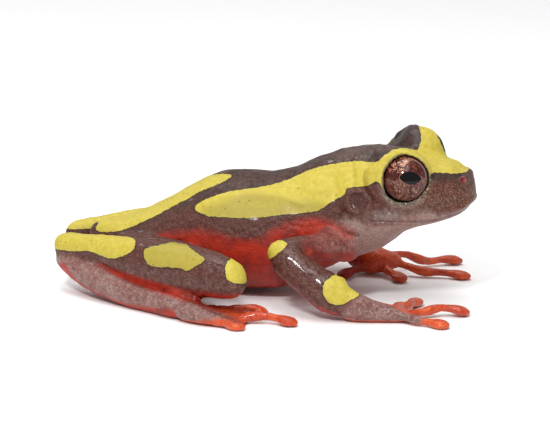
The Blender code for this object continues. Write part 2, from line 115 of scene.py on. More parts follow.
# How far the surface is raised, in millimetres, by the photograph's columns
lidFall = ((380, 0.0), (389, -0.55), (394, -0.85), (398, -0.70), (404, -0.32), (410, 0.0))
farLidRise = (
    (400, 0.0), (407, 0.12), (414, 0.16), (420, 0.16), (428, 0.28), (434, 0.30), (440, 0.24),
    (447, 0.0),
)
snoutFall = ((445, 0.0), (453, -0.14), (460, -0.34), (467, -0.22), (474, 0.0))
wristRise = ((338, 0.0), (346, 0.30), (353, 0.42), (362, 0.25), (372, 0.05), (380, 0.0))
backRise = ((300, 0.0), (320, 0.2), (340, 0.28), (355, 0.12), (365, 0.0))
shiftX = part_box("torso")[1].x / mm - (head["neck"] - head["neckGap"] / 2)


def setMode(mode):
    bpy.ops.object.mode_set(mode=mode)


def deselectAll():
    bpy.ops.object.select_all(action="DESELECT")


def addObject(name, data):
    piece = bpy.data.objects.new(name, data)
    bpy.context.scene.collection.objects.link(piece)
    return piece


def choose(piece):
    deselectAll()
    piece.select_set(True)
    bpy.context.view_layer.objects.active = piece


def applyModifier(piece, kind, **settings):
    choose(piece)
    step = piece.modifiers.new(kind.lower(), kind)
    for name, value in settings.items():
        setattr(step, name, value)
    bpy.ops.object.modifier_apply(modifier=step.name)


def vectorsOf(data, kind):
    found = np.empty(len(data) * 3, np.float32)
    data.foreach_get(kind, found)
    return found.reshape(-1, 3).astype(float)


def pointsOf(piece):  # in millimetres
    return vectorsOf(piece.data.vertices, "co") / mm


def normalsOf(piece):
    return vectorsOf(piece.data.vertex_normals, "vector")


def setPoints(piece, points):
    piece.data.vertices.foreach_set("co", (points * mm).astype(np.float32).ravel())
    piece.data.update()


def selectPoints(piece, chosen):  # and opens the piece for editing
    choose(piece)
    setMode("EDIT")
    bpy.ops.mesh.select_all(action="DESELECT")
    setMode("OBJECT")
    piece.data.vertices.foreach_set("select", chosen)
    setMode("EDIT")
    bpy.ops.mesh.select_mode(type="VERT")


def ramp(values, low, high, top=1.0):  # rises smoothly from 0 at low to the top at high
    t = np.clip((values - low) / (high - low), 0.0, 1.0)
    return t * t * (3 - 2 * t) * top


def fall(values, low, high, top=1.0):  # falls smoothly from the top at low to 0 at high
    return (1 - ramp(values, low, high)) * top


def bell(values, top, width):  # falls smoothly from the top at 0 to both sides
    return np.exp(-((values / width) ** 2)) * top


def most(*values):
    return np.maximum.reduce(values)


def least(*values):
    return np.minimum.reduce(values)


def readTable(values, table):  # the second of each pair, where the first is the value
    return np.interp(values, *np.array(table, float).T)


def throughPoints(points, pieces=6, closed=False):  # a smooth line through a few points
    points = np.asarray(points, float)
    count = len(points)
    found = []
    for i in range(count if closed else count - 1):
        if closed:
            before, here, there, after = (points[(i + k) % count] for k in (-1, 0, 1, 2))
        else:
            before, here = points[max(i - 1, 0)], points[i]
            there, after = points[i + 1], points[min(i + 2, count - 1)]
        for t in np.arange(pieces) / pieces:
            found.append(
                here
                + 0.5 * t * (there - before)
                + t * t * (before - 2.5 * here + 2 * there - 0.5 * after)
                + 0.5 * t**3 * (3 * here - before - 3 * there + after)
            )
    if not closed:
        found.append(points[-1])
    return np.array(found)


def distanceToLine(points, line):  # how far each point is from a line of short pieces
    nearest = np.full(len(points), 1e9)
    for a, b in zip(line, line[1:]):
        along = b - a
        t = np.clip((points - a) @ along / (along @ along + 1e-12), 0, 1)
        nearest = np.minimum(nearest, np.linalg.norm(points - a - t[:, None] * along, axis=1))
    return nearest


def insideOutline(points, outline):  # distance to a closed outline, more than 0 inside it
    loop = np.vstack([outline, outline[:1]])
    inside = np.zeros(len(points), bool)
    for a, b in zip(loop, loop[1:]):
        crosses = (a[1] > points[:, 1]) != (b[1] > points[:, 1])
        at = a[0] + (points[:, 1] - a[1]) * (b[0] - a[0]) / (b[1] - a[1] + 1e-12)
        inside ^= crosses & (points[:, 0] < at)
    return np.where(inside, 1, -1) * distanceToLine(points, loop)


def headShare(x):
    return ramp(x, head["bendFrom"], head["bendTo"])


def turned(a, b, angle):
    return a * np.cos(angle) - b * np.sin(angle), a * np.sin(angle) + b * np.cos(angle)


def bent(points):  # from the unturned trunk, in the CAD's own numbers, to where it is on the frog
    share = headShare(points[:, 0])
    x, y, z = (points - neckPivot).T
    y, z = turned(y, z, math.radians(head["tip"]) * share)
    x, y = turned(x, y, math.radians(head["turn"]) * share)
    return np.stack([x, y, z], 1) + neckPivot + [shiftX, 0, 0]


def unbent(points):  # the other way, found in a few steps
    moved = points - [shiftX, 0, 0]
    found = moved
    for _ in range(4):
        share = headShare(found[:, 0])
        x, y, z = (moved - neckPivot).T
        x, y = turned(x, y, -math.radians(head["turn"]) * share)
        y, z = turned(y, z, -math.radians(head["tip"]) * share)
        found = np.stack([x, y, z], 1) + neckPivot
    return found


def eyeCentre(side):
    return bent(np.array([head["eye"]]) * [1, side, 1])[0]


def eyeAxis(side, way="eye"):  # which way the lids open, or with "gaze" which way the eye looks
    forward, upward = math.radians(head[way + "Forward"]), math.radians(head[way + "Upward"])
    level = math.cos(upward)
    axis = Vector((math.sin(forward) * level, side * math.cos(forward) * level, math.sin(upward)))
    turn = Matrix.Rotation(math.radians(head["turn"]), 3, "Z")
    return turn @ Matrix.Rotation(math.radians(head["tip"]), 3, "X") @ axis


# Camera

def cameraFrame():
    azimuth, height = math.radians(view["azimuth"]), math.radians(view["height"])
    level = math.cos(height)
    back = np.array([math.sin(azimuth) * level, -math.cos(azimuth) * level, math.sin(height)])
    right = np.array([math.cos(azimuth), math.sin(azimuth), 0.0])
    up = np.cross(back, right)
    place = np.array(view["target"]) + back * view["distance"]
    return place, right, up, back


def inPhoto(points):  # where points fall in the photograph, in its pixels
    place, right, up, back = cameraFrame()
    wide, high = view["photoSize"]
    away = np.asarray(points, float) - place
    scale = view["lens"] / view["sensor"] * wide / -(away @ back)
    return np.stack([wide / 2 + away @ right * scale, high / 2 - away @ up * scale], 1)


def makeCamera():
    place, right, up, back = cameraFrame()
    lensData = bpy.data.cameras.new("camera")
    lensData.lens = view["lens"]
    lensData.sensor_width = view["sensor"]
    lensData.clip_start = 0.01
    lensData.clip_end = 10
    camera = addObject("camera", lensData)
    turn = Matrix((right, up, back)).transposed().to_4x4()
    turn.translation = Vector(place) * mm
    camera.matrix_world = turn
    bpy.context.scene.camera = camera
    print("camera placed")


# Skin: one surface over all the flesh

skinShape = {
    "grain": 0.16,
    "swell": 0.24,  # how far the pieces grow at the joints before they are joined, and shrink again after it
    "shrink": 0.12,  # the same the other way, where parts of the leg lie close together
    # Zones where the solids meet with a gap that the skin closes: place, y outwards, and reach
    "joints": {
        # Hip, knee, heel and ankle
        "leg": (
            ((-12.6, 2.8, 4.0), 3.4), ((-2.6, 11.0, 3.9), 3.0), ((-17.8, 2.9, 3.4), 2.6),
            ((-6.4, 11.0, 0.95), 2.4),
        ),
        # Shoulder, elbow and wrist
        "right": (((5.8, 5.0, 5.2), 2.8), ((2.0, 8.3, 5.3), 2.4), ((7.6, 9.6, 1.4), 2.4)),
        "left": (((5.6, 5.0, 5.2), 2.8), ((2.4, 8.8, 5.6), 2.4), ((6.9, 7.5, 1.9), 2.2)),
    },
    # Middle of the fold between shank and tarsus: x, y outwards, z, radius
    "web": (
        (-17.2, 3.3, 3.3, 0.70), (-15.8, 4.5, 3.0, 0.75), (-14.0, 5.5, 2.75, 0.65), (-12.2, 6.6, 2.35, 0.60),
        (-10.2, 7.8, 2.15, 0.65), (-8.4, 8.9, 2.0, 0.65), (-7.0, 9.7, 1.9, 0.55),
    ),
    # Where shank and tarsus lie along each other: from and to along the frog, outwards and up
    "together": ((-17.0, -15.5), (-8.0, -6.5), (3.5, 4.5), (0.2, 0.8)),
    "neckReach": 1.3,
    "smoothing": 6,
    "jointSmoothing": 14,
    "headSmoothing": 3,
    "digitsKept": 0.65,  # how much of the smoothing the digits are spared
    "fineHead": (5.0, 7.5),  # the head's mesh is refined above this level and within this far of the middle
    "thinning": 0.485,
}


def jointZones():
    zones = []
    for side, sign in sides.items():
        for place, reach in skinShape["joints"]["leg"] + skinShape["joints"][side]:
            zones.append((np.array([place[0] + shiftX, place[1] * sign, place[2]]), reach))
    return zones


def nearJoints(points):  # 1 at the joints, falling to 0
    reach = skinShape["neckReach"]
    found = fall(abs(points[:, 0] - head["neck"] - shiftX), reach * 0.4, reach)
    for place, reach in jointZones():
        away = np.linalg.norm(points - place, axis=1)
        found = np.maximum(found, fall(away, reach * 0.6, reach))
    return found


def closeTogether(points):  # 1 where shank and tarsus lie along each other
    x, y, z = (points - [shiftX, 0, 0]).T
    starts, ends, outwards, upwards = skinShape["together"]
    return ramp(x, *starts) * fall(x, *ends) * ramp(abs(y), *outwards) * ramp(z, *upwards)


def swell(piece, way):  # outwards at the joints, and inwards on the parts of the leg that lie close together
    points = pointsOf(piece)
    near = nearJoints(points)
    close = closeTogether(points) * (1 - near)
    rise = way * (skinShape["swell"] * near - skinShape["shrink"] * close)
    setPoints(piece, points + normalsOf(piece) * rise[:, None])


def weighted(piece, name, weights):
    group = piece.vertex_groups.new(name=name)
    steps = np.round(np.clip(weights, 0, 1) * 20).astype(int)
    for step in range(1, 21):
        group.add(np.nonzero(steps == step)[0].tolist(), step / 20, "REPLACE")
    return group.name


def smooth(skin, weights, times):
    group = weighted(skin, "smoothing", weights)
    applyModifier(skin, "SMOOTH", factor=0.5, iterations=times, vertex_group=group)
    skin.vertex_groups.clear()


def fleshNodes():
    return [name for name in sorted(frame["nodes"]) if not name.startswith("eye")]


def makeWebs():  # the fold of skin that fills the crease between each shank and tarsus
    webs = []
    line = throughPoints(skinShape["web"], 5)
    for side in sides.values():
        for x, y, z, radius in line:
            deselectAll()
            place = Vector((x + shiftX, y * side, z)) * mm
            bpy.ops.mesh.primitive_ico_sphere_add(subdivisions=2, radius=radius * mm, location=place)
            bpy.ops.object.transform_apply(location=True)
            webs.append(bpy.context.object)
    return webs


def joinedFlesh():
    copies, places = [], []
    for name in fleshNodes():
        piece = addObject("flesh", frame["nodes"][name].data.copy())
        copies.append(piece)
        choose(piece)
        setMode("EDIT")
        bpy.ops.mesh.select_all(action="SELECT")
        bpy.ops.mesh.remove_doubles(threshold=0.001 * mm)
        bpy.ops.mesh.subdivide(number_cuts=2)
        setMode("OBJECT")
        places.append(pointsOf(piece))
        swell(piece, 1)
    names = np.repeat(fleshNodes(), [len(found) for found in places])
    webs = makeWebs()
    deselectAll()
    for piece in (*copies, *webs):
        piece.select_set(True)
    bpy.context.view_layer.objects.active = copies[0]
    bpy.ops.object.join()
    return copies[0], np.vstack(places), names


def digitShare(points):  # 1 on the toes and fingers, which keep their shape when the rest is smoothed
    found = np.zeros(len(points))
    for name in fleshNodes():
        if name.startswith(("foot", "hand")):
            low, high = (np.array(corner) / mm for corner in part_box(name))
            found[np.all((points > low - 0.2) & (points < high + 0.2), axis=1)] = 1
    return found


def dropScraps(piece):  # only the surface that holds the foremost point stays
    forward = pointsOf(piece)[:, 0]
    selectPoints(piece, np.arange(len(forward)) == forward.argmax())
    bpy.ops.mesh.select_linked()
    bpy.ops.mesh.select_all(action="INVERT")
    bpy.ops.mesh.delete(type="VERT")
    setMode("OBJECT")


def refineHead(skin):
    points = pointsOf(skin)
    level, beside = skinShape["fineHead"]
    start = head["neck"] + shiftX - 0.5
    selectPoints(skin, (points[:, 0] > start) & (points[:, 2] > level) & (abs(points[:, 1]) < beside))
    bpy.ops.mesh.subdivide(number_cuts=1, smoothness=0.0)
    setMode("OBJECT")
    print("head refined", len(skin.data.vertices))
    smooth(skin, ramp(pointsOf(skin)[:, 0], start, start + 0.5), skinShape["headSmoothing"])


def makeSkin():
    skin, places, names = joinedFlesh()
    skin.name = "skin"
    print("flesh joined", len(skin.data.vertices))
    applyModifier(skin, "REMESH", mode="VOXEL", voxel_size=skinShape["grain"] * mm, use_smooth_shade=True)
    dropScraps(skin)
    print("skin remeshed", len(skin.data.vertices))
    smooth(skin, nearJoints(pointsOf(skin)), skinShape["jointSmoothing"])
    swell(skin, -1)
    smooth(skin, 1 - skinShape["digitsKept"] * digitShare(pointsOf(skin)), skinShape["smoothing"])
    refineHead(skin)
    labels = nodeLabels(skin, places, names)
    shapeSkin(skin, labels)
    markSkin(skin, labels)
    thinSkin(skin)
    choose(skin)
    bpy.ops.object.shade_smooth()
    skin.data.materials.clear()
    skin.data.materials.append(skinMaterial())
    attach(skin, "root")
    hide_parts(*fleshNodes())
    print("skin made, triangles", sum(len(face.vertices) - 2 for face in skin.data.polygons))


# Fine shape of the skin: mouth, nostrils, eardrums, folds and the uneven back

fineShape = {
    "mouthBegins": (366, 374),  # columns of the photograph
    "lipsBegin": (380, 425),
    "mouth": (-0.10, 0.09),  # height and width, in millimetres
    "lips": ((0.32, 0.045, 0.22), (-0.3, 0.027, 0.22)),  # level above the mouth line, height and width
    "earRim": (0.06, 0.13),
    "earHollow": 0.06,
    "nostril": (-0.15, 0.20),
    "nostrilRim": (0.08, 0.12),
    "nostrilRimAt": 0.36,
    "fold": (-0.14, 0.35),
    "jawFold": (-0.14, 0.22),
    "tarsusRidge": (0.12, 0.16),
    "sideRidge": (0.10, 0.22),
    "lumps": ((0.55, 0.10), (1.3, 0.04)),  # how many to a millimetre, height
    "lumpsEnd": (12, 14),
    "wrinkle": (1.1, 0.05),
    "lidTurns": (12.0, -10.0),  # how far the lids' edges turn round the eyes, in front and behind
    "lidTurnEnds": (2.3, 3.6),
    "lidFrom": (1.5, 2.25),  # distances from the eye's centre between which the lids close on it
    "lidReach": 3.1,
    "lidClearance": 2.06,
    "lidRear": (-0.3, 0.6),
    "lidFront": (-0.6, 0.1),
    # Where lids, snout, back and wrist rise or fall: level, distance outwards, and how far they face up
    "lidLevel": (11.6, 12.8),
    "lidOut": (0.5, 1.6),
    "lidOutEnds": (3.6, 4.6),
    "farLidLevel": (11.8, 13.2),
    "farLidOut": (1.2, 2.4),
    "snoutLevel": (11.2, 11.8),
    "backFaces": (0.2, 0.8),
    "wristFaces": (-0.2, 0.5),
    "rest": 0.005,  # how far above the floor the lowest skin lies
}


def isPart(labels, names):
    found = np.zeros(len(labels), bool)
    for name in names:
        found |= np.char.startswith(labels, name)
    return found


def lumpy(places, fineness, height):
    return np.array([noise.noise(Vector(place) * fineness) for place in places]) * height


def trunkInPhoto(still, side):  # with one half of the trunk mirrored on the other
    moved = still.copy()
    moved[:, 1] = side * abs(still[:, 1])
    return inPhoto(bent(moved))


def pixelsToMm():
    return view["distance"] * view["sensor"] / (view["lens"] * view["photoSize"][0])


def fromPlace(places, place):  # in millimetres
    return np.linalg.norm(places - place, axis=1) * pixelsToMm()


def fromLine(places, line, pieces=3):  # in millimetres, from a line smoothed into so many pieces a point
    return distanceToLine(places, throughPoints(line, pieces)) * pixelsToMm()


def fromMouth(places):  # above the mouth line is more than 0
    away = fromLine(places, mouthLine, 4)
    return np.where(places[:, 1] < readTable(places[:, 0], throughPoints(mouthLine, 4)), away, -away)


def faceRise(still, places, trunk):  # of the mouth, lips, eardrums and nostrils
    shape = fineShape
    forward, out = still[:, 0], abs(still[:, 1])
    onHead = trunk & (forward > head["starts"])
    away = fromMouth(places)
    along = ramp(places[:, 0], *shape["mouthBegins"]) * onHead * (forward > head["face"])
    rise = bell(away, *shape["mouth"]) * along
    along *= ramp(places[:, 0], *shape["lipsBegin"])
    for level, height, width in shape["lips"]:
        rise += bell(away - level, height, width) * along
    radius = head["earRadius"]
    away = fromPlace(places, earPlace)
    ear = bell(away - radius, *shape["earRim"]) - fall(away, 0.5 * radius, radius, shape["earHollow"])
    rise += (onHead & (out > head["cheekOut"])) * ear
    away = fromPlace(places, nostrilPlace)
    nostril = bell(away - shape["nostrilRimAt"], *shape["nostrilRim"]) + bell(away, *shape["nostril"])
    return rise + (onHead & (out > head["nostrilOut"]) & (forward > head["snout"])) * nostril


def closeLids(points):  # the lids' edges turn a little to the rear and close on the eyes
    shape = fineShape
    clear, reach = shape["lidClearance"], shape["lidReach"]
    inner, start = shape["lidFrom"]
    for side in sides.values():
        axis = np.array(eyeAxis(side))
        outward = points - eyeCentre(side)
        away = np.linalg.norm(outward, axis=1)
        rear = ramp(-(outward @ np.cross(axis, [0, 0, 1]) * side) / away, *shape["lidRear"])
        turn = shape["lidTurns"][0] * (1 - rear) + shape["lidTurns"][1] * rear
        x, y, z = outward.T
        angle = np.radians(turn) * side * fall(away, *shape["lidTurnEnds"])
        moved = np.stack([*turned(x, y, angle), z], 1)
        points += moved - outward
        closer = np.maximum(clear + (reach - clear) * (away - start) / (reach - start), clear)
        rise = np.where((away < reach) & (away > inner), closer - away, 0)
        points += moved * (rise * ramp(moved @ axis, *shape["lidFront"]) / away)[:, None]


def shapeSkin(skin, labels):
    shape = fineShape
    points, normals = pointsOf(skin), normalsOf(skin)
    still = unbent(points)
    trunk = np.isin(labels, ("head", "torso"))
    forward, across, up = still.T
    out = abs(across)
    places, farPlaces = trunkInPhoto(still, -1), trunkInPhoto(still, 1)
    rise = faceRise(still, places, trunk)
    upper = np.clip(normals[:, 2], 0, 1) * trunk * (1 - 0.7 * ramp(forward, *shape["lumpsEnd"]))
    for fineness, height in shape["lumps"]:
        rise += lumpy(points, fineness, height) * (0.25 + 0.75 * upper)
    rise += (~trunk & ~isPart(labels, ("hand", "foot"))) * lumpy(points, *shape["wrinkle"])
    points += normals * rise[:, None]

    # The rear of each lid falls away inwards, the snout slopes evenly, and the back and nape rise a little
    lid = ramp(up, *shape["lidLevel"]) * ramp(out, *shape["lidOut"]) * fall(out, *shape["lidOutEnds"])
    for table, seen, weight in (
        (lidFall, farPlaces, lid),
        (farLidRise, farPlaces, ramp(up, *shape["farLidLevel"]) * ramp(across, *shape["farLidOut"])),
        (snoutFall, places, ramp(up, *shape["snoutLevel"])),
        (backRise, places, ramp(normals[:, 2], *shape["backFaces"])),
    ):
        points[:, 2] += trunk * weight * readTable(seen[:, 0], table)

    def ridge(line, where, size, seen=places, pieces=3):
        return normals * (where * bell(fromLine(seen, line, pieces), *shape[size]))[:, None]

    points += ridge(sideRidge, trunk, "sideRidge")
    for line in nearFolds:
        points += ridge(line, trunk, "fold", pieces=1)
    points += ridge(jawFold, trunk & (forward > head["jaw"]), "jawFold")
    seen = inPhoto(points * [1, 0, 1] - abs(points) * [0, 1, 0])  # as if both limbs were the near one
    wrist = isPart(labels, ("forearm", "hand")) * (points[:, 1] < 0)
    wrist = wrist * ramp(normals[:, 2], *shape["wristFaces"])
    points[:, 2] += wrist * readTable(seen[:, 0], wristRise)
    points += ridge(tarsusRidge, isPart(labels, ("tarsus", "foot")), "tarsusRidge", seen)
    closeLids(points)
    points[:, 2] = np.maximum(points[:, 2], shape["rest"])
    setPoints(skin, points)
    print("skin shaped")


# Markings, as outlines read off the photograph, in its pixels

markings = {
    "stripe": (
        (194.5, 207.5), (199, 203), (210, 197.5), (225, 192.5), (242.5, 189.5), (262.5, 186.3),
        (275, 183.8), (292, 178), (306, 171), (327, 165), (355, 161), (376, 162), (388, 152),
        (401, 148), (413, 150.4), (424, 160), (430.5, 173.6), (410, 190), (385, 190), (377, 181),
        (367, 186), (348, 188), (344, 195), (331, 202), (317, 211), (300, 213), (275, 215.5),
        (250, 218), (220, 217), (205, 215), (197, 211.5),
    ),
    "rump": (
        (197, 178), (205, 175.5), (217, 174.2), (229, 174), (231.5, 176), (229, 178.5), (222, 182.5),
        (200, 191.5), (190, 197.5), (175, 205), (160, 213.5), (145, 221), (130, 227.5), (122, 230),
        (112, 231.8), (100, 231.5), (95.5, 228), (98, 222), (100, 195), (150, 160),
    ),
    "crown": (
        (412, 150.4), (418, 149.4), (420.6, 142), (420.8, 133), (418.8, 126.4), (417, 118), (431, 118),
        (435.4, 131.5), (438.3, 138), (440.3, 142), (442.9, 147.5), (444.8, 151.5), (448, 153.5),
        (452, 150), (466, 156), (466.5, 165), (468.8, 167.5), (467.5, 171.3), (462.3, 172.6),
        (455, 173.8), (444, 172.8), (430.5, 174), (410, 190), (406, 160),
    ),
    "heel": (
        (50, 247), (54, 234), (66, 226), (83, 231), (105, 233.5), (131.5, 237.5), (135, 243.5),
        (132, 251), (114, 258.6), (102, 256), (88, 251), (69.5, 251),
    ),
    "midShank": (
        (143.4, 251), (150, 247), (162, 244.4), (170, 242.2), (180, 242), (186, 243.6), (190, 248),
        (198, 254), (205, 258.8), (202, 262.5), (195, 266.5), (188, 270.6), (178, 268), (162, 267),
        (151, 266), (146, 261),
    ),
    "knee": (
        (226, 264), (229, 260.5), (233, 258), (241, 258), (249, 266), (250, 276), (245, 283),
        (237, 283.5), (229, 281), (225.4, 275),
    ),
    "elbow": (
        (287, 243), (278, 240), (266, 245), (260, 258), (266.5, 260.5), (273, 257.5), (280, 252),
        (286, 246.5),
    ),
    "forearm": (
        (333, 275.5), (342, 273), (351, 279), (357, 285), (359, 292.5), (357.4, 296.5), (351, 299.6),
        (346, 303), (339, 305), (331, 303.6), (325.5, 298.5), (323, 292), (324, 284), (328.5, 279),
    ),
    "farHeel": (
        (65, 227), (66, 218), (80, 210), (120, 200), (142, 198), (142, 214), (120, 226), (98, 229),
        (84, 228.5), (72, 229),
    ),
}
# The nodes on which each limb's outline may fall
markedNodes = {
    "heel": ("shank", "tarsus"),
    "midShank": ("shank",),
    "knee": ("shank",),
    "elbow": ("upper_arm", "forearm"),
    "forearm": ("forearm", "hand"),
}
# Places and reaches, in millimetres, of the far arm's patches, which the photograph hides
farArmPatches = (((2.0, 9.9, 6.5), 1.1), ((6.0, 8.6, 3.8), 1.35))
# Where the skin is wettest: middle, half width and half height of each spot in the photograph, and how wet
wetSpots = (
    (386, 213, 12, 4, 1.0), (369, 195, 4, 4, 0.8), (335, 243, 10, 5, 1.0), (297, 226, 16, 5, 0.3),
    (292, 258, 12, 8, 0.7), (308, 271, 12, 9, 0.75), (322, 284, 8, 8, 0.9), (368, 309, 14, 5, 1.0),
    (401, 316, 12, 5, 1.0), (214, 268, 12, 8, 1.0), (198, 297, 10, 5, 1.0), (178, 243, 8, 3, 0.6),
    (240, 232, 26, 6, 0.3), (440, 205, 20, 8, 0.3), (418, 138, 8, 8, 0.8), (170, 300, 40, 5, 0.5),
    (463, 179, 5, 5, 0.8), (331, 160, 16, 3, 0.5),
)
# Zones of painted shade and of colour, outlines and lines
# Painted shade on the stripe's lower side, below the side ridge
dorsalShade = (
    (203, 213.5), (214, 206), (232, 199), (252, 194), (272, 196), (296, 201), (322, 204), (317, 212),
    (292, 214), (253, 219), (222, 217.5),
)
redLevel = (
    (60, 238), (150, 236), (185, 231), (200, 229), (225, 236), (250, 240), (270, 240), (287, 238),
    (300, 236), (320, 236), (345, 240), (380, 262),
)
crease = ((96, 264), (104, 267), (116, 273), (134, 280), (150, 285), (170, 291), (190, 296), (212, 303))
lowerEdge = ((62, 266), (74, 283), (98, 298), (122, 309), (146, 316), (170, 320), (196, 325))
chest = (
    (258, 243), (272, 234), (285, 227), (299, 223), (313, 221), (328, 224), (338, 228), (346, 232.5),
    (352, 235), (346, 236.5), (338, 236.5), (326, 236), (313, 236), (299, 240), (285, 246), (268, 254),
)
armpit = ((307, 250), (318, 253), (330, 256), (348, 254), (352, 260), (332, 266), (318, 265), (308, 260))
instep = (
    (174, 294), (190, 297), (205, 300), (222, 303), (234, 306), (234, 311), (218, 311), (204, 307),
    (190, 302), (176, 299),
)
jawLobe = ((340, 215), (352, 214), (364, 218), (366, 226), (360, 232), (350, 231), (342, 226))
flankFold = ((135, 238), (165, 240), (190, 243), (210, 250), (222, 258))


def nodeLabels(skin, places, names):  # which of the CAD's pieces each part of the skin covers
    tree = kdtree.KDTree(len(places))
    for number, place in enumerate(places):
        tree.insert(place, number)
    tree.balance()
    return np.array([names[tree.find(place)[1]] for place in pointsOf(skin)])


nowhere = -9.0  # distance inside an outline, in millimetres, where it doesn't reach
outlineMargin = 30  # how far round an outline its distance is worked out, in pixels


def field(outline, places):  # distance inside an outline of the photograph, in millimetres
    loop = throughPoints(outline, 4, closed=True)
    found = np.full(len(places), nowhere)
    low, high = loop.min(0) - outlineMargin, loop.max(0) + outlineMargin
    near = np.all((places > low) & (places < high), axis=1)
    found[near] = insideOutline(places[near], loop) * pixelsToMm()
    return found


def evened(skin, values, times):  # each value shared with its neighbours
    edges = np.empty(len(skin.data.edges) * 2, np.int32)
    skin.data.edges.foreach_get("vertices", edges)
    a, b = edges.reshape(-1, 2).T
    count = len(values)
    neighbours = np.maximum(np.bincount(a, minlength=count) + np.bincount(b, minlength=count), 1)
    for _ in range(times):
        total = np.bincount(a, values[b], count) + np.bincount(b, values[a], count)
        values = 0.5 * values + 0.5 * total / neighbours
    return values


def store(skin, name, values):
    layer = skin.data.attributes.new(name, "FLOAT", "POINT")
    layer.data.foreach_set("value", np.asarray(values, np.float32))


def within(skin, allowed):  # about how far inside a part of the skin each point is, in millimetres
    return (evened(skin, allowed.astype(float), 8) - 0.5) * 2.5


def readSkin(skin, labels):  # what the markings need to know of each point
    points = pointsOf(skin)
    normals = np.stack([evened(skin, part, 10) for part in normalsOf(skin).T], 1)
    normals /= np.linalg.norm(normals, axis=1)[:, None]
    still = unbent(points)
    left = points[:, 1] > 0
    mirror = np.where(left[:, None], [1, -1, 1], 1)
    back = cameraFrame()[3]
    at = SimpleNamespace(skin=skin, points=points, normals=normals, still=still, left=left)
    at.store = lambda name, values, times=0: store(skin, name, evened(skin, values, times))
    at.on = lambda *names: isPart(labels, names)
    at.trunk = at.on("head", "torso")
    at.farArm = left & at.on("upper_arm", "forearm", "hand")
    at.near, at.far = trunkInPhoto(still, -1), trunkInPhoto(still, 1)
    at.limb = inPhoto(points * mirror)
    at.mirrored = normals * mirror
    at.facing = normals @ back
    at.outward = (at.mirrored @ back + 0.35) * 2.0  # falls below 0 where the skin turns from the camera
    at.turnedAway = ramp(at.facing, -0.45, -0.2)
    at.onCheek = at.trunk & (abs(still[:, 1]) > head["cheekOut"])
    at.fromEar = fromPlace(at.near, earPlace)
    return at


# Bounds of the zones: forwards, outwards and upwards on the unturned frog, in millimetres
yellowShape = {
    "lidEnds": (12.9, 14.2),
    "crownLevel": (10.6, 11.2),
    "crownOut": (2.2, 3.0),
    "farLidEdge": 2.32,
    "farLidFront": (0.4, 1.2),
    "lidForward": (8.5, 9.5),
    "lidLevel": (11.0, 11.6),
    "stripeFromMiddle": 2.6,
    "free": 6.0,  # lifts a limit
    "rumpBefore": -2.0,
    "kneeInset": 0.5,
}


def yellowMarks(at):
    shape = yellowShape
    forward, across, up = at.still.T
    onTrunk = within(at.skin, at.trunk)

    def fromBothSides(name, farShare):
        near = field(markings[name], at.near)
        return near + (field(markings[name], at.far) - near) * farShare

    # The crown shows both sides of the head, so each part of it is read where the photograph shows it
    behind = fall(forward, *shape["lidEnds"]) * ramp(up, *shape["crownLevel"])
    farShare = np.where(across > 0, at.turnedAway, behind * fall(-across, *shape["crownOut"]))
    crown = fromBothSides("crown", farShare)
    lidEdge = np.linalg.norm(at.points - eyeCentre(1), axis=1) - shape["farLidEdge"]
    lidEdge += shape["free"] * ramp(head["eye"][0] - forward, *shape["farLidFront"])
    crown = np.where(at.left, least(crown, lidEdge), crown)
    onLid = ramp(forward, *shape["lidForward"]) * ramp(up, *shape["lidLevel"])
    aside = least((abs(across) - shape["stripeFromMiddle"]) * 2, (-at.mirrored[:, 1] - 0.05) * 2)
    aside = evened(at.skin, aside, 16) + shape["free"] * (1 - onLid)
    yellow = least(field(markings["stripe"], at.near), aside, onTrunk)
    yellow = most(yellow, np.where(at.trunk & (forward > head["crown"]), crown, nowhere))
    rump = fromBothSides("rump", evened(at.skin, (across > 0) * at.turnedAway, 12))
    rump = least(rump, onTrunk, (at.mirrored[:, 2] + 0.2) * 3)
    yellow = most(yellow, np.where(forward < shape["rumpBefore"], rump, nowhere))
    for name, nodes in markedNodes.items():
        outward = at.outward - shape["kneeInset"] * (name == "knee")
        allowed = within(at.skin, at.on(*nodes) & ~at.farArm)
        yellow = most(yellow, least(field(markings[name], at.limb), outward, allowed))
    allowed = within(at.skin, at.left & at.on("shank", "tarsus"))
    patch = least(field(markings["farHeel"], inPhoto(at.points)), (at.facing + 0.15) * 2.0)
    yellow = most(yellow, least(patch, allowed))
    for place, reach in farArmPatches:
        inside = reach - np.linalg.norm(at.points - place, axis=1)
        yellow = most(yellow, np.where(at.farArm & (inside > -0.8), inside, nowhere))
    at.store("yellow", yellow)
    # Painted shade on the stripe's lower side, and a darker olive on the shank's middle patch
    shade = least(field(markings["midShank"], at.limb), at.outward) + 0.3
    at.store("shade", np.where(at.trunk, field(dorsalShade, at.near), shade))


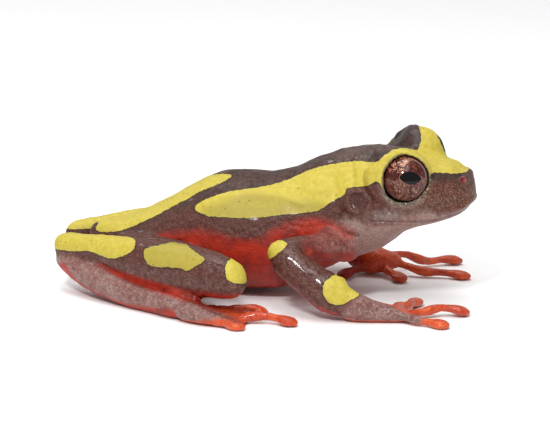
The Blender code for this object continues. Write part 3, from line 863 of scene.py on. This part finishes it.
# Where each zone fades in or out, with its strength where that isn't 1
redShape = {
    "bellyRows": (-9, 10),  # below the level at which the red begins
    "bellyEnds": (4.5, 9.0),
    "trunkUnder": (0.55, 0.9),  # how far the skin faces down
    "trunkUnderEnds": (4.0, 9.0),
    "limbUnder": (0.35, 0.8, 0.85),
    "limbInner": (0.2, 0.7),  # how far the skin faces inwards
    "limbInnerBegins": (-15.5, -13.0),
    # Column and width in the photograph, in pixels
    "creaseWidth": ((90, 0.2), (110, 1.0), (130, 2.2), (150, 3.2), (220, 3.0)),
    "creaseFade": 2.5,
    "lowerWidth": ((62, 1.5), (98, 2.5), (120, 4.0), (146, 6.5), (170, 8.5), (196, 8.0)),
    "lowerFade": 3.0,
    "instep": (-0.4, 0.3, 0.8),  # millimetres inside an outline
    "chest": (-1.0, 0.5, 0.9),
    "armpit": (-0.5, 0.2),
    "flankFold": (2.0, 8.0),  # pixels from the fold
    "farArmLevel": (3.0, 4.5),
    "throatBegins": (5.0, 8.0),
    "throatRows": (228, 246, 0.3),
    "shoulder": (3.0, 5.0, 0.34),
    # The orange of toes and fingers: where it begins along each
    "toes": (-5.2, -0.6, 0.85),
    "toesLeast": 0.15,
    "fingers": (9.6, 14.2),
    "fingersOut": (9.2, 10.0),
    "fingersFade": 1.6,
    "farFingers": (6.0, 8.5, 0.6),
    "outerToe": (11.8, 12.8, 0.5),
    "digitUnder": (0.5, 0.95),
}


def redMarks(at):
    shape = redShape
    forward, (x, y, z), down = at.still[:, 0], at.points.T, -at.normals[:, 2]
    u, v = at.near.T
    belly = ramp(v - readTable(u, redLevel), *shape["bellyRows"]) * fall(forward, *shape["bellyEnds"])
    underside = ramp(down, *shape["trunkUnder"]) * fall(forward, *shape["trunkUnderEnds"])
    fold = distanceToLine(at.limb, np.array(flankFold, float))
    fold = fall(fold, *shape["flankFold"]) * (forward < 0)
    throat = ramp(forward, *shape["throatBegins"]) * ramp(v, *shape["throatRows"])
    inner = ramp(at.mirrored[:, 1], *shape["limbInner"]) * ramp(x, *shape["limbInnerBegins"])

    def beside(line, width, fade, top=1.0):
        width = readTable(at.limb[:, 0], shape[width])
        away = distanceToLine(at.limb, throughPoints(line, 3))
        return fall(away, width, width + shape[fade], top)

    red = most(
        at.trunk * most(belly, underside, ramp(field(chest, at.near), *shape["chest"]), fold, throat),
        at.on("thigh", "shank", "tarsus", "upper_arm", "forearm") * ramp(down, *shape["limbUnder"]),
        at.on("thigh", "shank", "upper_arm") * inner,
        at.on("shank", "tarsus") * beside(crease, "creaseWidth", "creaseFade"),
        at.on("tarsus") * beside(lowerEdge, "lowerWidth", "lowerFade", 1.2),
        at.on("tarsus", "foot") * ramp(field(instep, at.limb), *shape["instep"]),
        at.on("torso", "head", "upper_arm") * ramp(field(armpit, at.limb), *shape["armpit"]) * ~at.farArm,
        at.on("upper_arm") * ramp(x, *shape["shoulder"]),
        at.farArm * fall(z, *shape["farArmLevel"]),
    )
    at.store("red", red, 16)

    foot, hand = at.on("foot"), at.on("hand")
    begins = ramp(-y, *shape["fingersOut"])
    begins = shape["fingers"][0] * (1 - begins) + shape["fingers"][1] * begins
    fingers = np.where(at.left, ramp(x, *shape["farFingers"]), ramp(x - begins, 0, shape["fingersFade"]))
    orange = foot * (shape["toesLeast"] + ramp(x + 0.8 * down, *shape["toes"])) + hand * fingers
    orange *= 1 - foot * ramp(abs(y), *shape["outerToe"]) * ramp(-down, 0.0, 0.6)
    at.orange = most(orange, (foot | hand) * ramp(down, *shape["digitUnder"]))
    at.store("orange", at.orange, 10)


paleShape = {
    "throatBegins": (4.5, 8.0),
    "throatLevel": ((385, -0.5), (400, -0.9), (425, -1.4), (450, -0.8)),  # column, and level from the mouth
    "throatFade": 1.5,
    "tarsus": 0.62,
    "digits": 0.58,
    "limbs": (-0.3, 0.6, 0.2),
    "shoulder": (4.2, 6.2, 0.4),
    "chinColumns": (345, 360, 0.6),
    "jawLobe": (-0.5, 0.6, 0.6),
    "farHand": (0.4, 0.9, 0.8),
    # Where the nape and head top get a painted sheen: columns, the row above which, and how far the skin
    # faces up
    "napeColumns": (315, 350, 0.35),
    "napeRow": 166,
    "napeFaces": (0.5, 0.9),
    "earRing": (0.5, 0.09),
    "lids": 0.65,
    # Where the reddish side of the frog and the glitter on its snout begin and end
    "faceColumns": (335, 350),
    "faceRows": (176, 186),
    "flankRows": (190, 215),
    "flankFaces": (0.5, 0.9),
    "snoutBegins": (12.2, 14.5),
    "snoutRows": (177, 192),
    "snoutRowsEnd": (205, 214),
}
# Middle, half width and half height of each spot in the photograph, and how pale
cheekSpots = ((388, 216, 24, 7, 0.75), (424, 214, 18, 5, 0.75))


def spots(seen, table):
    found = np.zeros(len(seen))
    for u, v, wide, high, much in table:
        found = most(found, bell(np.hypot((seen[:, 0] - u) / wide, (seen[:, 1] - v) / high), much, 1.0))
    return found


def paleMarks(at):
    shape = paleShape
    forward, x, up = at.still[:, 0], at.points[:, 0], at.normals[:, 2]
    u, v = at.near.T
    below = -at.fromMouth - readTable(u, shape["throatLevel"])
    throat = at.trunk * ramp(forward, *shape["throatBegins"]) * ramp(below, 0.0, shape["throatFade"])
    pale = most(
        throat,
        shape["tarsus"] * at.on("tarsus"),
        shape["digits"] * at.on("hand", "foot"),
        at.on("shank", "forearm") * fall(up, *shape["limbs"]),
        at.on("upper_arm") * ramp(x, *shape["shoulder"]),
    )
    at.store("pale", pale, 10)
    # Painted sheen: the nape and head top are made paler where they face up
    napeSheen = ramp(u, *shape["napeColumns"]) * (v < shape["napeRow"]) * ramp(up, *shape["napeFaces"])
    haze = most(
        throat * ramp(u, *shape["chinColumns"]),
        at.trunk * most(napeSheen, ramp(field(jawLobe, at.near), *shape["jawLobe"])),
        at.trunk * spots(at.near, cheekSpots),
        at.left * at.on("hand") * ramp(up, *shape["farHand"]),
        at.onCheek * bell(at.fromEar - head["earRadius"], *shape["earRing"]),
        shape["lids"] * at.lids,
    )
    at.store("haze", haze, 4)
    face = ramp(u, *shape["faceColumns"]) * ramp(v, *shape["faceRows"])
    side = ramp(v, *shape["flankRows"]) * fall(at.mirrored[:, 2], *shape["flankFaces"])
    at.store("flank", most(at.trunk * most(side, face), ~at.trunk))
    snout = ramp(forward, *shape["snoutBegins"]) * ramp(v, *shape["snoutRows"])
    at.store("snout", at.trunk * snout * fall(v, *shape["snoutRowsEnd"]))


# The rims round the eyes with their width in millimetres, and the lids beside them
lidShape = {
    "front": (-0.8, -0.3),
    "width": 0.16,
    "widerBehind": (-0.2, 0.5, 0.22),
    "widerBelow": (0.0, 0.6, 0.08),
    "rimEdge": (-0.08, 0.04),
    "lidEnds": (2.5, 2.9),
    "lidTilt": 0.4,
    "lidBelow": (-0.3, 1.0),
}


def lidMarks(at):
    shape = lidShape
    at.rim, at.lids = np.zeros(len(at.points)), np.zeros(len(at.points))
    for side in sides.values():
        axis = np.array(eyeAxis(side))
        outward = at.points - eyeCentre(side)
        away = np.linalg.norm(outward, axis=1)
        rear, down = -(outward @ np.cross(axis, [0, 0, 1]) * side) / away, -outward[:, 2] / away
        front = ramp(outward @ axis, *shape["front"])
        width = shape["width"] + ramp(rear, *shape["widerBehind"]) + ramp(down, *shape["widerBelow"])
        edge = away - fineShape["lidClearance"] - width
        at.rim = most(at.rim, fall(edge, *shape["rimEdge"]) * front)
        below = -outward[:, 2] - shape["lidTilt"] * outward[:, 0]
        lid = fall(away, *shape["lidEnds"]) * front * ramp(below, *shape["lidBelow"])
        at.lids = most(at.lids, lid * at.trunk)
    at.store("rim", at.rim)


# Painted shade along the mouth's crease and the jaw's fold and on the rear of the lids, the ear's own darker
# colour, the reddish eardrum and nostril, and how wet some parts are
darkShape = {
    "mouth": (0.35, 0.09),
    "jaw": (0.45, 0.14),
    "shadeBehindLid": 0.7,
    "lidBegins": ((8.0, 10.0), (11.0, 12.4), (0.8, 2.2)),  # forwards, upwards and outwards
    "ear": (0.5, 0.9, 0.3),
    "drum": (0.6, 0.9, 0.25),
    "nostril": (0.20, 0.42),
    "wet": {"lid": 0.3, "digits": 0.5, "rim": 0.8},
}


def darkAndWetMarks(at):
    shape = darkShape
    forward, across, up = at.still.T
    # Painted shade along the mouth's crease
    mouth = bell(at.fromMouth, *shape["mouth"]) * ramp(at.near[:, 0], *fineShape["mouthBegins"])
    mouth *= at.trunk & (forward > head["face"])
    # Painted shade on the rear of each lid
    ahead, level, outwards = shape["lidBegins"]
    lid = ramp(forward, *ahead) * ramp(up, *level) * ramp(abs(across), *outwards)
    lid *= shape["shadeBehindLid"] * at.trunk
    # Painted shadow along the jaw's fold
    jaw = bell(fromLine(at.near, jawFold), *shape["jaw"]) * (at.trunk & (forward > head["jaw"]))
    at.store("dark", most(mouth, lid, jaw, at.onCheek * fall(at.fromEar, *shape["ear"])))
    nostril = fall(fromPlace(at.near, nostrilPlace), *shape["nostril"]) * (forward > head["snout"])
    at.store("reddish", most(at.trunk * nostril, at.onCheek * fall(at.fromEar, *shape["drum"])))
    wet = spots(np.where(at.trunk[:, None], at.near, at.limb), wetSpots)
    much = shape["wet"]
    wet = most(wet, much["lid"] * lid, much["digits"] * at.orange, much["rim"] * at.rim)
    at.store("wet", wet * (1 - 3 * mouth))


def markSkin(skin, labels):
    at = readSkin(skin, labels)
    at.fromMouth = fromMouth(at.near)
    yellowMarks(at)
    redMarks(at)
    lidMarks(at)
    paleMarks(at)
    darkAndWetMarks(at)
    print("skin marked")


# What is kept whole when the skin is thinned: how far in millimetres from each feature
wholeSkin = {"nostril": 0.55, "earRim": 0.2, "mouth": 0.15, "jaw": 0.3, "eye": 2.6}


def thinSkin(skin):  # fewer faces, but none lost round the eyes and along the head's fine features
    points = pointsOf(skin)
    forward, across, up = unbent(points).T
    places = trunkInPhoto(unbent(points), -1)
    face, whole = forward > head["face"], wholeSkin
    fromRim = abs(fromPlace(places, earPlace) - head["earRadius"])
    kept = (forward > head["snout"]) & (fromPlace(places, nostrilPlace) < whole["nostril"])
    kept |= face & (forward < 11) & (fromRim < whole["earRim"])
    kept |= face & (up < 11) & (abs(fromMouth(places)) < whole["mouth"]) & (places[:, 0] > mouthLine[0][0])
    kept |= (forward > head["jaw"]) & (fromLine(places, jawFold) < whole["jaw"])
    for side in sides.values():
        kept |= np.linalg.norm(points - eyeCentre(side), axis=1) < whole["eye"]
    group = weighted(skin, "kept", kept.astype(float))
    thinning = skinShape["thinning"]
    applyModifier(skin, "DECIMATE", ratio=thinning, vertex_group=group, invert_vertex_group=True)
    skin.vertex_groups.clear()
    print("skin thinned, points kept whole", int(kept.sum()))


# Materials

def sums(kind):  # a sum, and the same with the other value first
    return (
        lambda wire, other: wire.maths(kind, wire, other),
        lambda wire, other: wire.maths(kind, other, wire),
    )


class Wire:  # a value or colour in a material, worked on with plain sums
    def __init__(self, tree, socket):
        self.tree = tree
        self.socket = socket

    def make(self, kind, settings=None, inputs=None, output=0):
        node = self.tree.nodes.new(kind)
        for name, value in (settings or {}).items():
            setattr(node, name, value)
        for name, value in (inputs or {}).items():
            if isinstance(value, Wire):
                self.tree.links.new(value.socket, node.inputs[name])
            else:
                node.inputs[name].default_value = value
        return Wire(self.tree, node.outputs[output])

    def maths(self, kind, *values):
        return self.make("ShaderNodeMath", {"operation": kind}, dict(enumerate(values)))

    __add__, __radd__ = sums("ADD")
    __sub__, __rsub__ = sums("SUBTRACT")
    __mul__, __rmul__ = sums("MULTIPLY")
    __truediv__, __rtruediv__ = sums("DIVIDE")

    def size(self):
        return self.maths("ABSOLUTE", self)

    def feed(self, name):  # into the material's surface
        self.tree.links.new(self.socket, self.tree.nodes["Principled BSDF"].inputs[name])

    def step(self, low, high):  # rises smoothly from 0 at low to 1 at high
        inputs = {"Value": self, "From Min": low, "From Max": high}
        return self.make("ShaderNodeMapRange", {"interpolation_type": "SMOOTHSTEP"}, inputs)

    def mix(self, first, second):  # first where this is 0, second where it is 1
        first, second = (colour(*shade) if isinstance(shade, tuple) else shade for shade in (first, second))
        return self.make("ShaderNodeMix", {"data_type": "RGBA"}, {0: self, 6: first, 7: second}, 2)

    def cells(self, place, fineness):
        return self.make("ShaderNodeTexVoronoi", inputs={"Vector": place, "Scale": fineness})

    def grain(self, place, fineness, detail, rough):
        inputs = {"Vector": place, "Scale": fineness, "Detail": detail, "Roughness": rough}
        return self.make("ShaderNodeTexNoise", inputs=inputs)


def colour(red, green, blue):  # from screen values of 0 to 255
    return (*(((c / 255 + 0.055) / 1.055) ** 2.4 if c > 10 else c / 3295 for c in (red, green, blue)), 1)


def newMaterial(name, **constants):
    material = bpy.data.materials.new(name)
    material.use_nodes = True
    shader = material.node_tree.nodes["Principled BSDF"]
    for socket, value in constants.items():
        shader.inputs[socket.replace("_", " ")].default_value = value
    return material, Wire(material.node_tree, None)


skinLook = {
    "back": (74, 45, 36),
    "backDark": (42, 23, 18),
    "flank": (78, 36, 27),
    "flankDark": (54, 24, 18),
    "flankSpeckle": (128, 90, 79),
    "pale": (130, 82, 75),
    "paleLight": (174, 150, 144),
    "paleSpeckle": (72, 38, 34),
    # a grey of the skin's own, also used for the painted sheen on the nape
    "haze": (146, 130, 120),
    "yellow": (196, 180, 72),
    "yellowDeep": (182, 164, 60),
    "yellowShade": (136, 122, 50),
    "outline": (44, 26, 18),
    "red": (166, 38, 14),
    "redDark": (126, 32, 22),
    "orange": (208, 82, 24),
    "orangeDeep": (180, 54, 16),
    "gold": (176, 136, 80),
    "reddish": (134, 46, 42),
    "rim": (98, 88, 70),
    "rimLight": (164, 154, 130),
    "edgeWander": 0.24,
    "outlineWidth": 0.06,
    # How many grains, specks or bumps there are to a millimetre
    "fineGrain": 9.0,
    "middlingGrain": 2.6,
    "broadGrain": 0.7,
    "edgeGrain": 2.8,
    "specks": 7.0,
    "fineSpecks": 9.5,
    "goldSpecks": 9.0,
    "pepper": 2.2,
    "pits": 5.0,
    "domes": 2.3,
    "bumpHeight": 0.00011,
}


def skinMaterial():
    look = skinLook
    material, wire = newMaterial(
        "frogSkin", IOR=1.4, Specular_IOR_Level=0.45, Coat_Roughness=0.1, Coat_IOR=1.4,
        Subsurface_Weight=0.12, Subsurface_Radius=(0.001, 0.0004, 0.00025), Subsurface_Scale=0.5,
    )
    place = wire.make("ShaderNodeTexCoord", output=3)
    mmPlace = wire.make("ShaderNodeVectorMath", {"operation": "SCALE"}, {0: place, 3: 1 / mm})

    def grain(name, detail):
        return wire.grain(mmPlace, look[name], detail, 0.55)

    def cells(name):
        return wire.cells(mmPlace, look[name])

    def mark(name):
        return wire.make("ShaderNodeAttribute", {"attribute_name": name}, output=2)

    fine, middling, broad = grain("fineGrain", 3.0), grain("middlingGrain", 3.0), grain("broadGrain", 2.0)
    uneven = middling - 0.5
    darkSpecks = (0.36 - cells("specks") + uneven * 0.8).step(0.0, 0.14)
    fineSpecks = (0.40 - cells("fineSpecks") + uneven * 0.7).step(0.0, 0.12)

    back = (middling * 0.6 + broad * 0.6).step(0.42, 0.80).mix(look["backDark"], look["back"])
    flank = (fineSpecks * 0.6).mix(look["flank"], look["flankSpeckle"])
    patches = ((0.5 - middling) * 2.0 + (0.5 - broad) * 1.2).step(0.0, 0.5) * 0.6
    flank = patches.mix(flank, (fineSpecks * 0.5).mix(look["flankDark"], look["flankSpeckle"]))
    pale = ((middling * 0.7 + broad * 0.5).step(0.45, 0.75) * 0.45).mix(look["pale"], look["paleLight"])
    pale = (fineSpecks * 0.65).mix(pale, look["paleLight"])
    pale = (darkSpecks * 0.85).mix(pale, look["paleSpeckle"])
    base = mark("flank").mix((fineSpecks * 0.28).mix(back, look["flankSpeckle"]), flank)
    base = (mark("pale") + uneven * 0.35).step(0.05, 0.85).mix(base, pale)
    # Grey zones of the skin's own colour, and painted sheen on the upward-facing nape and head top
    haze = (mark("haze") + uneven * 0.4).step(0.1, 0.9) * (0.45 + fineSpecks * 0.4)
    base = haze.mix(base, look["haze"])
    gold = mark("snout") * (0.34 - cells("goldSpecks") + (fine - 0.5) * 0.9).step(0.0, 0.18) * 0.85
    base = gold.mix(base, look["gold"])

    red = (broad * 0.7 + middling * 0.3).step(0.3, 0.6).mix(look["redDark"], look["red"])
    base = (mark("red") + uneven * 0.3 + (fine - 0.5) * 0.3).step(0.1, 0.9).mix(base, red)
    orange = broad.step(0.3, 0.7).mix(look["orangeDeep"], look["orange"])
    base = (mark("orange") + uneven * 0.4).step(0.25, 0.7).mix(base, orange)
    base = mark("reddish").step(0.2, 0.9).mix(base, look["reddish"])
    # Painted shade in the mouth's crease, along the jaw's fold and on the rear of the lids, and the ear's
    # own darker colour
    base = mark("dark").mix(base, look["backDark"])

    edge = mark("yellow") + (grain("edgeGrain", 3.0) - 0.5) * look["edgeWander"]
    yellow = middling.step(0.3, 0.75).mix(look["yellowDeep"], look["yellow"])
    # Painted shade on the stripe's lower side, and the shank's middle patch a darker olive
    shade = (mark("shade") + uneven * 0.8).step(-0.5, 0.4) * 0.5
    yellow = shade.mix(yellow, look["yellowShade"])
    pepper = (0.16 - cells("pepper") + (fine - 0.5) * 0.1).step(0.0, 0.05) * broad.step(0.42, 0.6)
    yellow = (pepper * 0.8).mix(yellow, look["outline"])
    outline = edge.step(-look["outlineWidth"] - 0.10, -look["outlineWidth"])
    base = (outline * 0.85).mix(base, look["outline"])
    base = edge.step(-0.03, 0.03).mix(base, yellow)
    base = (mark("rim") * 0.9).mix(base, (fineSpecks * 0.8).mix(look["rim"], look["rimLight"]))
    base.feed("Base Color")

    onYellow = edge.step(-0.05, 0.05)
    wet = mark("wet") * (1 - onYellow * 0.6)
    (0.46 + middling * 0.2 - wet * 0.42).feed("Roughness")
    coat = 0.05 + wet * 0.9 + 0.25 * middling.step(0.35, 0.65)
    (coat * (1 - 0.85 * onYellow)).feed("Coat Weight")
    domes = cells("domes")
    height = fine * 0.35 - cells("pits") * 0.3 - (0.1 + wet) * domes * domes * 3.2
    bump = {"Strength": 0.8, "Distance": look["bumpHeight"], "Height": height * (1 - 0.6 * onYellow)}
    wire.make("ShaderNodeBump", inputs=bump).feed("Normal")
    print("skin coloured")
    return material


# Eyes: balls with a painted iris under a clear wet coat

eyeShape = {
    "radius": 2.0,
    "segments": 64,
    "rings": 40,
    "irisRadius": 1.99,
    "pupilAt": (0.36, 0.04),
    "pupilHalfLength": 0.92,
    "pupilHalfHeight": 0.58,
    "pupilTurn": 5.0,
    "black": (10, 7, 7),
    "copper": (152, 82, 60),
    "copperFleckAndGlint": (240, 196, 166),
    "ground": (58, 17, 16),
    "ash": (118, 76, 64),
    "ashLight": (214, 186, 152),
    "ring": (168, 112, 108),
    "cracks": ((0.46, -1.75, -0.3), (0.22, 0.5, 1.5)),  # dark lines across the iris: place, from and up to
    # a pale painted highlight at the cornea's edge, and how far from the middle that edge lies
    "corneaEdgeHighlight": (150, 118, 106),
    "corneaAt": 1.74,
    "glintAt": (-0.55, 1.05),  # middle of a painted glint, a soft reflection painted over the iris's upper rear, and how it lies
    "glintTurn": (0.86, 0.5),
    "flecks": 9.0,
}


def eyeMaterial(name, side):
    shape = eyeShape
    material, wire = newMaterial(
        name, Roughness=0.4, Specular_IOR_Level=0.0, Coat_Weight=1.0, Coat_Roughness=0.01, Coat_IOR=1.36
    )
    place = wire.make("ShaderNodeTexCoord", output=3)
    centre = Vector(eyeCentre(side))
    axis = eyeAxis(side, "gaze")
    across = Vector((0, 0, 1)).cross(axis).normalized() * -side  # points forwards
    across = Matrix.Rotation(math.radians(shape["pupilTurn"]) * side, 3, axis) @ across
    upward = across.cross(axis) * side

    def along(direction):  # how far the place is from the eye's centre this way, in millimetres
        inputs = {0: place, 1: tuple(direction / mm)}
        found = wire.make("ShaderNodeVectorMath", {"operation": "DOT_PRODUCT"}, inputs, 1)
        return found - float(direction.dot(centre))

    u, v, depth = along(across), along(upward), along(axis)
    fromMiddle = u.maths("SQRT", u * u + v * v)
    local = wire.make("ShaderNodeCombineXYZ", inputs={0: u, 1: v, 2: depth})

    def grain(fineness):
        return wire.grain(local, fineness, 3.0, 0.6)

    flecks = wire.cells(local, shape["flecks"])
    web = (grain(3.0) - 0.5) * 1.8 + (0.42 - flecks) * 1.2
    upper = (v + (grain(2.0) - 0.5) * 0.8).step(-0.1, 0.5)
    copper = (web - (u - 0.2).step(0.0, 0.8) * 0.3).step(-0.3, 0.3).mix(shape["ground"], shape["copper"])
    # A painted glint: pale copper painted as a soft reflection over the iris's upper rear, on top of the
    # iris's own copper flecks
    fromGlint, above = u - shape["glintAt"][0], v - shape["glintAt"][1]
    long, short = shape["glintTurn"]
    lengthwise, crosswise = fromGlint * long + above * short, above * long - fromGlint * short
    paintedGlint = 1 - (lengthwise * lengthwise * 0.9 + crosswise * crosswise * 3.5).step(0.1, 1.4)
    copper = ((web + paintedGlint * 0.3).step(0.1, 0.6) * (0.15 + paintedGlint * 0.6)).mix(copper, shape["copperFleckAndGlint"])
    ash = web.step(-0.6, 0.3).mix(shape["ground"], shape["ash"])
    light = web.step(0.15, 0.5) * (0.35 + 0.6 * (v + 0.5 - u * 0.2).step(0.0, -0.7))
    light = light * (u + v * 0.5).step(-1.7, -0.9)
    ash = light.mix(ash, shape["ashLight"])
    iris = upper.mix(ash, copper)
    band = (1 - (v - 0.14).size().step(0.12, 0.42)) * (0.2 - u).step(0.3, 0.8) * 0.85
    iris = band.mix(iris, shape["ground"])
    for middle, low, high in shape["cracks"]:
        crack = 1 - (u - middle + (grain(2.4) - 0.5) * 0.4).size().step(0.05, 0.2)
        crack = crack * v.step(low, low + 0.2) * v.step(high, high - 0.2) * 0.8
        iris = crack.mix(iris, shape["ground"])
    # On the iris's front: painted shade of the lid's inner face beyond the cornea's edge, and a pale painted
    # highlight ring at that edge
    foremost = (u + v * 0.3).step(0.3, 1.0)
    fromEdge = fromMiddle - shape["corneaAt"]
    iris = (fromEdge.step(0.0, 0.12) * foremost * 0.7).mix(iris, shape["ground"])
    iris = ((1 - fromEdge.size().step(0.02, 0.10)) * foremost * 0.6).mix(iris, shape["corneaEdgeHighlight"])
    edge = (fromMiddle + (grain(3.0) - 0.5) * 0.1).step(shape["irisRadius"] - 0.15, shape["irisRadius"])
    iris = edge.mix(iris, shape["black"])

    x = (u - shape["pupilAt"][0]) / shape["pupilHalfLength"]
    y = (v - shape["pupilAt"][1]) / shape["pupilHalfHeight"]
    fromPupil = x.maths("POWER", x.size(), 1.3) + y.maths("POWER", y.size(), 1.9)
    ring = fromPupil.step(1.26, 1.12) * grain(1.6).step(0.44, 0.58)
    iris = (ring * 0.55).mix(iris, shape["ring"])
    iris = fromPupil.step(1.08, 0.98).mix(iris, shape["black"])
    iris.feed("Base Color")
    return material


def makeEye(name, node, side):
    shape = eyeShape
    deselectAll()
    size = {"segments": shape["segments"], "ring_count": shape["rings"], "radius": shape["radius"] * mm}
    bpy.ops.mesh.primitive_uv_sphere_add(**size)
    eye = bpy.context.object
    eye.name = name
    bpy.ops.object.shade_smooth()
    turn = eyeAxis(side).to_track_quat("Z", "Y").to_matrix().to_4x4()
    eye.data.transform(Matrix.Translation(Vector(eyeCentre(side)) * mm) @ turn)
    eye.data.materials.append(eyeMaterial(name + "Look", side))
    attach(eye, "root")
    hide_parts(node)
    print(name, "made")


# Floor and light

studio = {
    "floorSize": 4000.0,
    "floorColour": (0.96, 0.96, 0.96, 1),
    "worldColour": (1, 1, 1, 1),
    "worldStrength": 0.46,
    "lights": (
        # name, place, size, power
        ("keyLight", (40.0, -120.0, 270.0), 170.0, 0.30),
        ("topLight", (-40.0, 60.0, 300.0), 240.0, 0.34),
        ("rimLight", (-165.0, 130.0, 210.0), 45.0, 0.05),
        ("sparkLight", (-30.0, -222.0, 216.0), 50.0, 0.48),
    ),
}


def makeStudio():
    deselectAll()
    bpy.ops.mesh.primitive_plane_add(size=studio["floorSize"] * mm, location=(0, 0, 0))
    floor = bpy.context.object
    floor.name = "floor"
    paper, _ = newMaterial("palePaper", Base_Color=studio["floorColour"], Roughness=0.7)
    floor.data.materials.append(paper)
    world = bpy.data.worlds.new("paleRoom")
    bpy.context.scene.world = world
    world.use_nodes = True
    room = world.node_tree.nodes["Background"].inputs
    room["Color"].default_value = studio["worldColour"]
    room["Strength"].default_value = studio["worldStrength"]
    for name, place, size, power in studio["lights"]:
        lamp = bpy.data.lights.new(name, "AREA")
        lamp.shape = "DISK"
        lamp.size = size * mm
        lamp.energy = power
        light = addObject(name, lamp)
        light.location = Vector(place) * mm
        aim = Vector(view["target"]) * mm - light.location
        light.rotation_euler = aim.to_track_quat("-Z", "Y").to_euler()
    bpy.context.scene.view_settings.view_transform = "Standard"
    print("floor and lights set")


makeCamera()
makeStudio()
makeSkin()
makeEye("eyeRight", "eye_right", sides["right"])
makeEye("eyeLeft", "eye_left", sides["left"])
